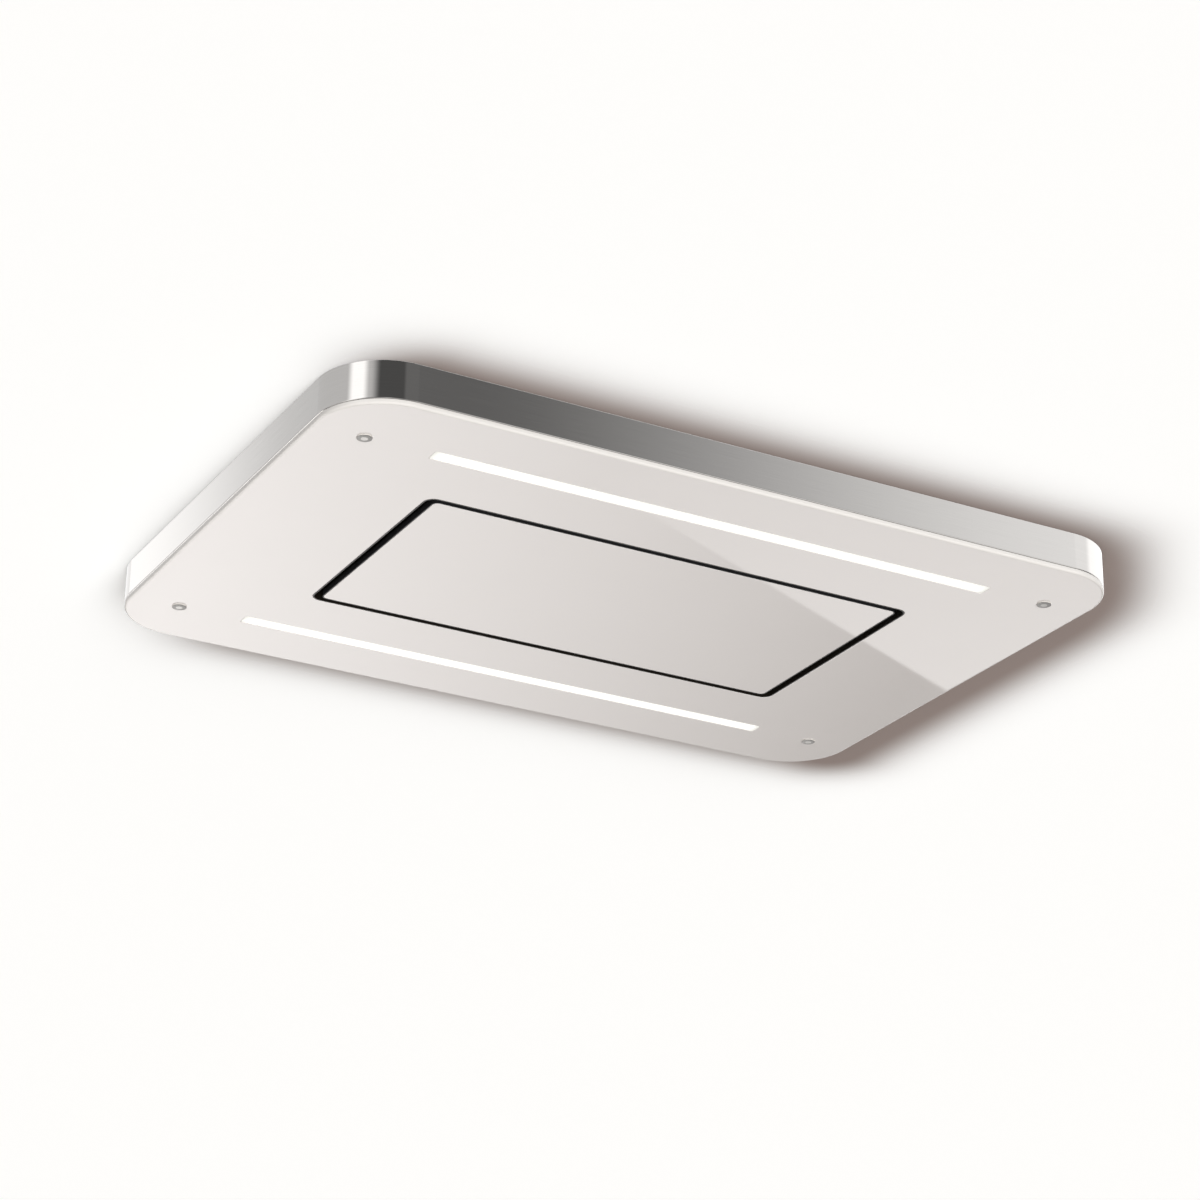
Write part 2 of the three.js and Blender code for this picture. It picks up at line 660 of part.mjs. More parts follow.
add('outer_glass', outerGlass(), finishes.whiteGlass);
add('rim_band', rimBand(), finishes.polishedSteel);
add('ceiling_pan', ceilingPan(), finishes.zincSteel);
add('throat_sleeve', throatSleeve(), finishes.blackSteel);
for (const [sideName, side] of SIDES) {
  add(`led_cover_${sideName}`, ledCover(), finishes.opalCover, 0, side * ledY);
  add(`led_channel_${sideName}`, ledChannel(), finishes.aluminium, 0, side * ledY);
  add(`led_board_${sideName}`, ledBoard(), finishes.circuitBoard, 0, side * ledY);
  for (const [endName, end] of ENDS) {
    add(`stud_${sideName}_${endName}`, glassStud(), finishes.polishedSteel, end * studX, side * studY);
  }
}
add('control_box', electricsBox(CONTROL_BOX_DEPTH), finishes.greyPlastic, boxX);
add('led_driver', electricsBox(DRIVER_BOX_DEPTH), finishes.greyPlastic, -boxX);

// ---------------------------------------------------------------- central panel

function panelGlass() {
  const shape = outline(roundedRect(panelHalfX, panelHalfY, PANEL_RADIUS, 5));
  return arrisedPlate(shape, slabBottom, glassTop, GLASS_ARRIS);
}

// Black edge trim: a wall round the glass edge and a lip behind the glass
function panelTrim() {
  const outside = -SEAT_GAP - TRIM_WALL;
  return ringBand(panelHalfX, panelHalfY, PANEL_RADIUS, [
    [outside, slabBottom],
    [outside, trimTop],
    [TRIM_LIP, trimTop],
    [TRIM_LIP, bandBottom],
    [-SEAT_GAP, bandBottom],
    [-SEAT_GAP, slabBottom],
  ], 5);
}

// Steel tray behind the glass, with a folded lip, notched in its far wall for the hangers
function panelTray() {
  const floor = plate(outline(roundedRect(trayHalfX, trayHalfY, 0)), trayFloor, trayFloorTop);
  const wall = ringBand(trayHalfX, trayHalfY, 0, [
    [0, trayFloor],
    [0, trayTop],
    [TRAY_LIP, trayTop],
    [TRAY_LIP, trayTop - SHEET],
    [SHEET, trayTop - SHEET],
    [SHEET, trayFloor],
  ]);
  const notchHalf = HANGER_THICKNESS / 2 + HINGE_NOTCH_GAP;
  const notches = ENDS.map(([, end]) => block(
    end * hingeX - notchHalf, end * hingeX + notchHalf,
    trayHalfY - 2 * TRAY_LIP, trayHalfY + 1, trayFloorTop, trayTop + 1));
  return cut(join(floor, wall), ...notches);
}

// Moving half of a hinge: base on the tray floor and two ears up to the pin
function hingeBracket() {
  const base = trayFloorTop + SEAT_GAP;
  const earInner = HANGER_THICKNESS / 2 + EAR_SIDE_GAP;
  const earOuter = earInner + EAR_THICKNESS;
  const half = HINGE_BASE_WIDTH / 2;
  const ear = new THREE.Shape();
  ear.moveTo(-half, base - hingeZ);
  ear.lineTo(half, base - hingeZ);
  ear.lineTo(hingeEyeRadius, 0);
  ear.absarc(0, 0, hingeEyeRadius, 0, Math.PI, false);
  ear.holes.push(new THREE.Path().absarc(0, 0, hingeHoleRadius, 0, Math.PI * 2, false));
  const ears = ENDS.map(([, end]) => {
    const [from, to] = end < 0 ? [-earOuter, -earInner] : [earInner, earOuter];
    return alongX(ear, from, to, 6).translate(0, 0, hingeZ);
  });
  const foot = outline(roundedRect(HINGE_BASE_LENGTH / 2, half, HINGE_BASE_RADIUS, 2));
  return join(plate(foot, base, base + HINGE_BASE_SHEET), ...ears);
}

function hingePin() {
  const half = HANGER_THICKNESS / 2 + EAR_SIDE_GAP + EAR_THICKNESS;
  const head = hingePinRadius + PIN_HEAD;
  return turned([
    [0, -half - SEAT_GAP - PIN_HEAD],
    [head, -half - SEAT_GAP - PIN_HEAD],
    [head, -half - SEAT_GAP],
    [hingePinRadius, -half - SEAT_GAP],
    [hingePinRadius, half + PIN_HEAD],
    [0, half + PIN_HEAD],
  ], 12).rotateY(Math.PI / 2);
}

// Fixed half of a hinge: a plate that reaches in under the filter ledge and down to the pin
function hingeHanger() {
  const wallY = sleeveInnerY - SEAT_GAP - hingeY;
  const armTop = LEDGE_LEVEL - SEAT_GAP - hingeZ;
  const armBottom = armTop - HANGER_ARM_HEIGHT;
  const legHalf = HANGER_LEG_WIDTH / 2;
  const shape = new THREE.Shape();
  shape.moveTo(wallY, armTop);
  shape.lineTo(-legHalf, armTop);
  shape.lineTo(-legHalf, 0);
  shape.absarc(0, 0, hingeEyeRadius, Math.PI, Math.PI * 2, false);
  shape.lineTo(legHalf, armBottom - legHalf);
  shape.lineTo(legHalf + legHalf, armBottom);
  shape.lineTo(wallY, armBottom);
  shape.closePath();
  shape.holes.push(new THREE.Path().absarc(0, 0, hingeHoleRadius, 0, Math.PI * 2, false));
  const arm = alongX(shape, -HANGER_THICKNESS / 2, HANGER_THICKNESS / 2, 6);
  const foot = block(-HANGER_FOOT_LENGTH / 2, HANGER_FOOT_LENGTH / 2,
    wallY - HANGER_FOOT_THICKNESS, wallY, armTop - HANGER_FOOT_HEIGHT, armTop);
  return join(arm, foot);
}

// Magnet block on the sleeve's near wall, and its keeper on the lip of the tray
const keeperBottom = trayTop + SEAT_GAP;
const keeperTop = keeperBottom + KEEPER_THICKNESS;
const catchBottom = keeperTop + SEAT_GAP;

function catchMagnet() {
  const back = -sleeveInnerY + SEAT_GAP;
  const middle = back + CATCH_DEPTH / 2;
  const shape = outline(roundedRect(CATCH_LENGTH / 2, CATCH_DEPTH / 2, CATCH_RADIUS, 2, 0, middle));
  return plate(shape, catchBottom, catchBottom + CATCH_HEIGHT);
}

function catchKeeper() {
  const middle = -trayHalfY + TRAY_LIP / 2 + (KEEPER_WIDTH - TRAY_LIP) / 2;
  const shape = outline(roundedRect(KEEPER_LENGTH / 2, KEEPER_WIDTH / 2, 1, 2, 0, middle));
  return plate(shape, keeperBottom, keeperTop);
}

add('panel_glass', panelGlass(), finishes.whiteGlass);
add('panel_trim', panelTrim(), finishes.blackPlastic);
add('panel_tray', panelTray(), finishes.blackSteel);
for (const [endName, end] of ENDS) {
  const x = end * hingeX;
  add(`hinge_bracket_${endName}`, hingeBracket(), finishes.zincSteel, x, hingeY);
  add(`hinge_pin_${endName}`, hingePin(), finishes.pinSteel, x, hingeY, hingeZ);
  add(`hinge_hanger_${endName}`, hingeHanger(), finishes.zincSteel, x, hingeY, hingeZ);
  add(`catch_magnet_${endName}`, catchMagnet(), finishes.magnet, x);
  add(`catch_keeper_${endName}`, catchKeeper(), finishes.zincSteel, x);
}

// ---------------------------------------------------------------- grease filters

// Frame of folded channel with two fixed tongues on its far side and a guide for the sprung bolt
function filterFrame() {
  const channel = ringBand(filterHalfX, filterHalfY, 0, [
    [0, filterBottom],
    [0, filterTop],
    [FILTER_LIP, filterTop],
    [FILTER_LIP, filterTop - FILTER_SHEET],
    [FILTER_SHEET, filterTop - FILTER_SHEET],
    [FILTER_SHEET, filterBottom + FILTER_SHEET],
    [FILTER_LIP, filterBottom + FILTER_SHEET],
    [FILTER_LIP, filterBottom],
  ]);
  const tongueBottom = ledgeTop + SEAT_GAP;
  const tongues = ENDS.map(([, end]) => block(
    end * TONGUE_SPREAD - TONGUE_WIDTH / 2, end * TONGUE_SPREAD + TONGUE_WIDTH / 2,
    filterHalfY - FILTER_SHEET, filterHalfY + TONGUE_REACH,
    tongueBottom, tongueBottom + TONGUE_THICKNESS));
  const guideTop = boltTop + SEAT_GAP + FILTER_SHEET;
  const guideHalf = BOLT_WIDTH / 2 + SEAT_GAP + GUIDE_WALL;
  const guide = block(-guideHalf, guideHalf, -filterHalfY, -filterHalfY + GUIDE_LENGTH,
    filterBottom + FILTER_SHEET, guideTop);
  const half = BOLT_WIDTH / 2 + SEAT_GAP;
  const way = block(-half, half, -filterHalfY - 1, -filterHalfY + GUIDE_LENGTH + 1,
    filterBottom + FILTER_SHEET, boltTop + SEAT_GAP);
  return cut(join(channel, guide, ...tongues), way);
}

// Sprung bolt: bar over the near ledge and a finger grip below the frame
function filterBolt() {
  const front = -filterHalfY - BOLT_REACH;
  const tail = -filterHalfY + BOLT_TAIL;
  const half = BOLT_WIDTH / 2;
  const bar = block(-half, half, front, tail, boltBottom, boltTop);
  const grip = block(-half, half, tail - GRIP_LENGTH, tail, filterBottom - GRIP_DROP, boltTop);
  return join(bar, grip);
}

// Pleated mesh pad between the lips of the frame, cut away round the bolt's guide
function filterPad() {
  const halfX = filterHalfX - FILTER_SHEET - SEAT_GAP;
  const halfY = filterHalfY - FILTER_SHEET - SEAT_GAP;
  const low = filterBottom + FILTER_SHEET + SEAT_GAP;
  const high = filterTop - FILTER_SHEET - SEAT_GAP;
  const upper = [];
  const lower = [];
  for (let fold = 0; fold <= 2 * PLEAT_COUNT; fold += 1) {
    const x = -halfX + halfX * fold / PLEAT_COUNT;
    const [bottom, top] = fold % 2 ? [high - PLEAT_SHEET, high] : [low, low + PLEAT_SHEET];
    lower.push([x, bottom]);
    upper.unshift([x, top]);
  }
  const pleats = alongY(outline([...lower, ...upper]), -halfY, halfY);
  const room = BOLT_WIDTH / 2 + SEAT_GAP + GUIDE_WALL + SEAT_GAP;
  const end = Math.max(GUIDE_LENGTH, BOLT_TAIL + BOLT_TRAVEL) + SEAT_GAP;
  const pocket = block(-room, room, -filterHalfY, -filterHalfY + end, filterBottom, filterTop);
  return cut(pleats, pocket);
}

for (const [endName, end] of ENDS) {
  const x = end * filterX;
  add(`filter_frame_${endName}`, filterFrame(), finishes.aluminium, x);
  add(`filter_pad_${endName}`, filterPad(), finishes.aluminium, x);
  add(`filter_bolt_${endName}`, filterBolt(), finishes.greyPlastic, x);
}

// ---------------------------------------------------------------- recessed body

const cableHoleRadius = GLAND_BORE_DIAMETER / 2 + CABLE_HOLE_MARGIN;
const DUCT_STEPS = 32;             // facets round the duct

// Cylinder along X, as a cutting tool or a plain rod
function rodX(radius, from, to, y, z, segments) {
  return new THREE.CylinderGeometry(radius, radius, to - from, segments)
    .rotateZ(Math.PI / 2).translate((from + to) / 2, y, z);
}

// Folded sheet body, open below, with a flange under the ceiling and one for the lid
function housingBox() {
  const walls = ringBand(housingHalfX, housingHalfY, 0, [
    [-HOUSING_FLANGE, -SHEET],
    [-HOUSING_FLANGE, 0],
    [0, 0],
    [0, housingTop],
    [HOUSING_TOP_FLANGE, housingTop],
    [HOUSING_TOP_FLANGE, housingTop - SHEET],
    [SHEET, housingTop - SHEET],
    [SHEET, -SHEET],
  ]);
  const ductHole = rodX(ductBore, housingHalfX - 5, housingHalfX + 5, ductY, ductZ, DUCT_STEPS);
  const cableHole = rodX(cableHoleRadius, -housingHalfX - 5, -housingHalfX + 5, 0, CABLE_BOX_LEVEL, 12);
  return cut(walls, ductHole, cableHole);
}

// Lid with a skirt outside the walls and pressed stiffening beads
function housingLid() {
  const halfX = housingHalfX + SEAT_GAP + SHEET;
  const halfY = housingHalfY + SEAT_GAP + SHEET;
  const sheet = plate(outline(roundedRect(halfX, halfY, 0)), lidBottom, lidTop);
  const skirt = ringBand(halfX, halfY, 0, [
    [0, lidTop - LID_SKIRT],
    [0, lidTop],
    [SHEET, lidTop],
    [SHEET, lidTop - LID_SKIRT],
  ]);
  const beads = [];
  for (let row = 0; row < BEAD_COUNT; row += 1) {
    const y = (row - (BEAD_COUNT - 1) / 2) * (halfY - BEAD_MARGIN) * 2 / BEAD_COUNT;
    for (const [inset, height] of [[0, BEAD_HEIGHT / 2], [BEAD_HEIGHT, BEAD_HEIGHT]]) {
      const half = BEAD_WIDTH / 2 - inset;
      const shape = roundedRect(halfX - BEAD_MARGIN - inset, half, half * 0.98, 3, 0, y);
      beads.push(plate(outline(shape), lidBottom, lidTop + height));
    }
  }
  return join(sheet, skirt, ...beads);
}

// Suspension bracket: an angle on the body's long side, with a hole for the ceiling rod
function suspensionBracket(side) {
  const top = housingTop - BRACKET_TOP_DISTANCE;
  const wall = housingHalfY + SEAT_GAP;
  const half = BRACKET_WIDTH / 2;
  const angle = outline([
    [wall, top - BRACKET_DROP],
    [wall + BRACKET_SHEET, top - BRACKET_DROP],
    [wall + BRACKET_SHEET, top - BRACKET_SHEET],
    [wall + BRACKET_REACH, top - BRACKET_SHEET],
    [wall + BRACKET_REACH, top],
    [wall, top],
  ]);
  const leg = wall + (BRACKET_SHEET + BRACKET_REACH) / 2;
  const hole = plate(outline(circle(BRACKET_HOLE_DIAMETER / 2, 16, 0, leg)), top - BRACKET_SHEET - 1, top + 1);
  const bracket = cut(alongX(angle, -half, half), hole);
  return side < 0 ? bracket.rotateZ(Math.PI) : bracket;
}

// Cable box on the left wall, open to the left under its lid
const cableBoxX = -housingHalfX - SEAT_GAP;

function cableBoxOutline(inset) {
  return outline(roundedRect(CABLE_BOX_WIDTH / 2 - inset, CABLE_BOX_HEIGHT / 2 - inset,
    CABLE_BOX_RADIUS - inset, 3, 0, CABLE_BOX_LEVEL));
}

function cableBox() {
  const wall = CABLE_BOX_WALL;
  const body = alongX(cableBoxOutline(0), cableBoxX - CABLE_BOX_DEPTH, cableBoxX);
  const inside = alongX(cableBoxOutline(wall), cableBoxX - CABLE_BOX_DEPTH - 1, cableBoxX - wall);
  const wallHole = rodX(cableHoleRadius, cableBoxX - wall - 1, cableBoxX + 1, 0, CABLE_BOX_LEVEL, 12);
  const glandHole = alongY(
    outline(circle(cableHoleRadius, 12, cableBoxX - CABLE_BOX_DEPTH / 2, CABLE_BOX_LEVEL)),
    -CABLE_BOX_WIDTH / 2 - 1, -CABLE_BOX_WIDTH / 2 + wall + 1);
  return cut(body, inside, wallHole, glandHole);
}

function cableBoxLid() {
  const back = cableBoxX - CABLE_BOX_DEPTH - SEAT_GAP;
  return alongX(cableBoxOutline(0), back - CABLE_LID_THICKNESS, back);
}

// Cable gland: hexagonal base and a domed nut round its bore, pointing towards -Y
function cableGland() {
  const radius = GLAND_DIAMETER / 2;
  const dome = turned([
    [0, 0],
    [radius * 0.86, 0],
    [radius * 0.86, GLAND_LENGTH * 0.75],
    [radius * 0.6, GLAND_LENGTH],
    [0, GLAND_LENGTH],
  ], 16);
  const base = plate(outline(circle(radius, 6)), 0, GLAND_LENGTH * 0.4);
  const bore = plate(outline(circle(GLAND_BORE_DIAMETER / 2, 12)), -1, GLAND_LENGTH + 1);
  return cut(join(base, dome), bore).rotateX(Math.PI / 2);
}

add('housing_box', housingBox(), finishes.zincSteel);
add('housing_lid', housingLid(), finishes.zincSteel);
for (const [sideName, side] of SIDES) {
  for (const [endName, end] of ENDS) {
    const x = end * BRACKET_SPREAD;
    add(`bracket_${sideName}_${endName}`, suspensionBracket(side), finishes.zincSteel, x);
  }
}
add('cable_box', cableBox(), finishes.greyPlastic);
add('cable_box_lid', cableBoxLid(), finishes.greyPlastic);
add('cable_gland', cableGland(), finishes.blackPlastic,
  cableBoxX - CABLE_BOX_DEPTH / 2, -CABLE_BOX_WIDTH / 2 - SEAT_GAP, CABLE_BOX_LEVEL);

// ---------------------------------------------------------------- fan

// Point of the spiral wall. The radius grows evenly with the angle turned from straight towards -Y.
function spiralPoint(turn, outward) {
  const radius = spiralStart + SPIRAL_GROWTH * turn / (2 * Math.PI) + outward;
  const angle = turn - Math.PI / 2;
  return [fanX + radius * Math.cos(angle), fanY + radius * Math.sin(angle)];
}

// Spiral from the tongue round to the lowest point, either way
function spiralRun(outward, forward) {
  const points = [];
  for (let step = 0; step <= SPIRAL_STEPS; step += 1) {
    const turn = TONGUE_TURN + (2 * Math.PI - TONGUE_TURN) * step / SPIRAL_STEPS;
    points.push(spiralPoint(turn, outward));
  }
  return forward ? points : points.reverse();
}

// Outline of the casing's floor and cover
function casingOutline(holeRadius, holeSteps) {
  const edge = [
    [mouthX, mouthLow - SHEET],
    [mouthX, mouthHigh + SHEET],
    ...spiralRun(SHEET, true),
  ];
  return outline(edge, circle(holeRadius, holeSteps, fanX, fanY));
}

const [tongueX, tongueY] = spiralPoint(TONGUE_TURN, SHEET / 2);
const inletRadius = INLET_THROAT_DIAMETER / 2 + INLET_LIP_RADIUS;
const INLET_STEPS = 32;            // facets round the inlet
const FLARE_STEPS = 4;             // facets from its flange to its throat

// Spiral casing: floor with the inlet, spiral wall, tongue and the widening run to the mouth
function fanCasing() {
  const floor = plate(casingOutline(inletRadius, INLET_STEPS), casingBottom, casingFloor);
  const spiralWall = outline([
    ...spiralRun(SHEET, true),
    [mouthX, mouthLow - SHEET],
    [mouthX, mouthLow],
    ...spiralRun(0, false),
  ]);
  const runWall = outline([
    [tongueX, tongueY],
    [mouthX, mouthHigh],
    [mouthX, mouthHigh + SHEET],
    [tongueX, tongueY + SHEET],
  ]);
  const nose = plate(outline(circle(TONGUE_NOSE_RADIUS, 10, tongueX, tongueY)), casingBottom, casingTop);
  const walls = [spiralWall, runWall].map((shape) => plate(shape, casingBottom, casingTop));
  return join(floor, ...walls, nose);
}

// Casing cover, which carries the motor
function casingCover() {
  return plate(casingOutline(COVER_HOLE_DIAMETER / 2, 16), coverBottom, coverTop);
}

// Inlet ring: flange under the casing and a flared lip that stands inside the wheel's eye
function inletRing() {
  const throat = INLET_THROAT_DIAMETER / 2;
  const flare = [];
  const back = [];
  const bendHeight = inletBottom + INLET_LIP_RADIUS;
  for (let step = 0; step <= FLARE_STEPS; step += 1) {
    const angle = Math.PI / 2 * step / FLARE_STEPS;
    const inner = INLET_LIP_RADIUS;
    const outer = INLET_LIP_RADIUS - SHEET;
    flare.push([throat + inner - inner * Math.cos(angle), bendHeight - inner * Math.sin(angle)]);
    back.unshift([throat + inner - outer * Math.cos(angle), bendHeight - outer * Math.sin(angle)]);
  }
  const top = wheelBottom + INLET_OVERLAP;
  const rim = inletRadius + INLET_FLANGE;
  return turned([
    [rim, inletBottom],
    [rim, inletBottom + SHEET],
    ...back,
    [throat + SHEET, top],
    [throat, top],
    ...flare,
    [rim, inletBottom],
  ], INLET_STEPS);
}

// Fan wheel with forward-curved blades. Each blade is a circular arc that leaves the eye along the
// radius and turns forward by the sweep angle, so its radius follows from the two wheel radii.
function fanWheel() {
  const sine = Math.sin(BLADE_SWEEP);
  const rise = 1 - Math.cos(BLADE_SWEEP);
  const squared = sine * sine + rise * rise;
  const linear = 2 * eyeRadius * sine;
  const constant = eyeRadius * eyeRadius - wheelRadius * wheelRadius;
  const arc = (Math.sqrt(linear * linear - 4 * squared * constant) - linear) / (2 * squared);
  const blade = new THREE.Shape();
  const start = -Math.PI / 2;
  blade.absarc(eyeRadius, arc, arc + BLADE_SHEET / 2, start, start + BLADE_SWEEP, false);
  blade.absarc(eyeRadius, arc, arc - BLADE_SHEET / 2, start + BLADE_SWEEP, start, true);
  const embed = WHEEL_PLATE / 2;
  const blades = [];
  for (let i = 0; i < BLADE_COUNT; i += 1) {
    const angle = i * 2 * Math.PI / BLADE_COUNT;
    blades.push(plate(blade, wheelBottom + embed, wheelTop - embed, BLADE_ARC_STEPS).rotateZ(angle));
  }
  const edge = wheelRadius + BLADE_SHEET;
  const hubHole = SHAFT_DIAMETER / 2 + PIN_CLEARANCE;
  const hub = HUB_DIAMETER / 2;
  const cupTop = MOTOR_DIAMETER / 2 + MOTOR_CUP_GAP;
  const cupBottom = cupTop - 1;
  const back = turned([
    [hubHole, cupFloor - HUB_HEIGHT],
    [hub, cupFloor - HUB_HEIGHT],
    [hub, cupFloor],
    [cupBottom + WHEEL_PLATE, cupFloor],
    [cupTop + WHEEL_PLATE, wheelTop - WHEEL_PLATE],
    [edge, wheelTop - WHEEL_PLATE],
    [edge, wheelTop],
    [cupTop, wheelTop],
    [cupBottom, cupFloorTop],
    [hubHole, cupFloorTop],
    [hubHole, cupFloor - HUB_HEIGHT],
  ], BLADE_COUNT);
  const shroud = turned([
    [shroudBore, wheelBottom],
    [edge, wheelBottom],
    [edge, wheelBottom + WHEEL_PLATE],
    [shroudBore, wheelBottom + WHEEL_PLATE],
    [shroudBore, wheelBottom],
  ], BLADE_COUNT);
  return join(back, shroud, ...blades);
}

// Motor: flange under the casing cover, can inside the cup, bearing hole from below
function fanMotor() {
  const radius = MOTOR_DIAMETER / 2;
  const flange = MOTOR_FLANGE_DIAMETER / 2;
  const bearing = SHAFT_DIAMETER / 2 + PIN_CLEARANCE;
  const holeTop = motorBottom + SHAFT_IN_MOTOR + SEAT_GAP;
  return turned([
    [0, holeTop],
    [bearing, holeTop],
    [bearing, motorBottom],
    [radius - 6, motorBottom],
    [radius, motorBottom + 6],
    [radius, motorTop - MOTOR_FLANGE],
    [flange, motorTop - MOTOR_FLANGE],
    [flange, motorTop],
    [0, motorTop],
  ], 24);
}

function motorShaft() {
  const radius = SHAFT_DIAMETER / 2;
  const bottom = cupFloor - HUB_HEIGHT;
  const top = motorBottom + SHAFT_IN_MOTOR;
  return turned([[0, bottom], [radius, bottom], [radius, top], [0, top]], 12);
}

// Waisted rubber mount between the casing cover and the lid
function rubberMount() {
  const radius = MOUNT_DIAMETER / 2;
  const waist = MOUNT_WAIST_DIAMETER / 2;
  const foot = MOUNT_HEIGHT / 4;
  return turned([
    [0, mountBottom],
    [radius, mountBottom],
    [radius, mountBottom + foot],
    [waist, mountBottom + 1.5 * foot],
    [waist, mountTop - 1.5 * foot],
    [radius, mountTop - foot],
    [radius, mountTop],
    [0, mountTop],
  ], 10);
}

add('fan_casing', fanCasing(), finishes.zincSteel);
add('casing_cover', casingCover(), finishes.zincSteel);
add('inlet_ring', inletRing(), finishes.zincSteel, fanX, fanY);
add('fan_wheel', fanWheel(), finishes.wheelPlastic, fanX, fanY);
add('fan_motor', fanMotor(), finishes.blackSteel, fanX, fanY);
add('motor_shaft', motorShaft(), finishes.pinSteel, fanX, fanY);
for (const [sideName, side] of SIDES) {
  for (const [endName, end] of ENDS) {
    add(`rubber_mount_${sideName}_${endName}`, rubberMount(), finishes.blackRubber,
      fanX + end * MOUNT_SPREAD_X, fanY + side * MOUNT_SPREAD_Y);
  }
}

// ---------------------------------------------------------------- duct outlet

// Round collar with a flange on the body's right wall and an inner bead that stops the flaps
function ductCollar() {
  const stopBack = flapX - FLAP_SHEET / 2 - SEAT_GAP;
  const stop = ductBore - DUCT_STOP;
  return turned([
    [ductBore, ductStart],
    [ductRadius + DUCT_FLANGE, ductStart],
    [ductRadius + DUCT_FLANGE, ductStart + DUCT_WALL],
    [ductRadius, ductStart + DUCT_WALL],
    [ductRadius, ductEnd],
    [ductBore, ductEnd],
    [ductBore, stopBack],
    [stop, stopBack],
    [stop, stopBack - DUCT_STOP],
    [ductBore, stopBack - 2 * DUCT_STOP],
    [ductBore, ductStart],
  ], DUCT_STEPS).rotateY(Math.PI / 2);
}

function flapPin() {
  const half = ductBore - DUCT_STOP - SEAT_GAP;
  return turned([[0, -half], [flapPinRadius, -half], [flapPinRadius, half], [0, half]], 12);
}

// Half-round flap that reaches towards +Y, with its eye round the upper half of the pin. The near
// flap is the same piece turned over, so its eye takes the lower half.
function ductFlap() {
  const radius = ductBore - FLAP_EDGE_GAP;
  const clear = flapEyeRadius + SEAT_GAP;
  const chord = Math.sqrt(radius * radius - clear * clear);
  const start = Math.atan2(-chord, clear);
  const leaf = new THREE.Shape();
  leaf.absarc(0, 0, radius, start, -start, false);
  leaf.closePath();
  const eyeEnd = chord - FLAP_EYE_WALL;
  const eye = turned([
    [flapHoleRadius, FLAP_EYE_GAP / 2],
    [flapEyeRadius, FLAP_EYE_GAP / 2],
    [flapEyeRadius, eyeEnd],
    [flapHoleRadius, eyeEnd],
    [flapHoleRadius, FLAP_EYE_GAP / 2],
  ], 12);
  const half = FLAP_SHEET / 2;
  const web = block(-half, half, flapHoleRadius + FLAP_EYE_WALL / 2, clear + 1, FLAP_EYE_GAP / 2, eyeEnd);
  return join(alongX(leaf, -half, half, 14), eye, web);
}

add('duct_collar', ductCollar(), finishes.zincSteel, 0, ductY, ductZ);
add('flap_pin', flapPin(), finishes.pinSteel, flapX, ductY, ductZ);
add('flap_far', ductFlap(), finishes.aluminium, flapX, ductY, ductZ);
add('flap_near', ductFlap().rotateX(Math.PI), finishes.aluminium, flapX, ductY, ductZ);

export default group;
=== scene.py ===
"""Finish of a ceiling range hood: a white glass slab with light strips under the ceiling, a panel that
swings down, and a recessed fan body above.

Metres, +Z up. The ceiling is the plane z = 0. The slab hangs below it and is seen from below.
"""

import json
import math

import bmesh
import bpy
import numpy as np
from mathutils import Matrix, Vector
from mathutils.geometry import tessellate_polygon

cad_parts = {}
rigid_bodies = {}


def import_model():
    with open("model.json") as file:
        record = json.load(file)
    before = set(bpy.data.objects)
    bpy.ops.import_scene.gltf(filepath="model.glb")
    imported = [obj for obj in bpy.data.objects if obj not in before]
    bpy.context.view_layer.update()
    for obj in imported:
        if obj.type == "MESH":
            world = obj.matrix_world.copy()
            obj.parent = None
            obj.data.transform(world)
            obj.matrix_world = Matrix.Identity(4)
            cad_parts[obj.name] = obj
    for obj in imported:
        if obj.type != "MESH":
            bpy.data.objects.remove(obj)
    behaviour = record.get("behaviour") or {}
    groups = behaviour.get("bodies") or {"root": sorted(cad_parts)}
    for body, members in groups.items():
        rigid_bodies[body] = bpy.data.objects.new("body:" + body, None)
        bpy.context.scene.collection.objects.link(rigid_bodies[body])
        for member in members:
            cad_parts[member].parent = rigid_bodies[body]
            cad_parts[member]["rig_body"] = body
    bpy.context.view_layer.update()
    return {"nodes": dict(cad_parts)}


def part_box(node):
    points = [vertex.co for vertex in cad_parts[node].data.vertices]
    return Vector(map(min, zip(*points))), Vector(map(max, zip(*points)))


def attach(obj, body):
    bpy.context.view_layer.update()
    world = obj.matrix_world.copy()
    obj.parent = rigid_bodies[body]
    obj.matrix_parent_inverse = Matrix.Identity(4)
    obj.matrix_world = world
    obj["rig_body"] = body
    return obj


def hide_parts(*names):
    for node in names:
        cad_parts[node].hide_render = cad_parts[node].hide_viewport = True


bl_info = {
    "name": "Ceiling range hood",
    "version": (1, 0, 0),
    "blender": (4, 5, 0),
    "location": "View3D > Sidebar > Range hood",
    "description": "Builds the finished surfaces of a ceiling range hood over its packed frame",
    "category": "Object",
}

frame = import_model()
NODES = frame["nodes"]

MM = 0.001
ENDS = (("left", -1), ("right", 1))
SIDES = (("near", -1), ("far", 1))
CORNERS = tuple(f"{side}_{end}" for side, _ in SIDES for end, _ in ENDS)


# ------------------------------------------------------------------ colour and node helpers


def linear(hex_colour):
    """The linear RGB of an sRGB hex colour."""
    channels = np.array([int(hex_colour[i : i + 2], 16) for i in (1, 3, 5)]) / 255
    low = channels / 12.92
    high = ((channels + 0.055) / 1.055) ** 2.4
    return tuple(np.where(channels <= 0.04045, low, high))


def add_node(tree, kind, settings=None, links=None):
    """Adds a node. Settings are its properties or the values of its sockets, links its incoming outputs."""
    node = tree.nodes.new(kind)
    for key, value in (settings or {}).items():
        if isinstance(key, str) and hasattr(node, key):
            setattr(node, key, value)
        else:
            node.inputs[key].default_value = value
    for key, output in (links or {}).items():
        tree.links.new(output, node.inputs[key])
    return node


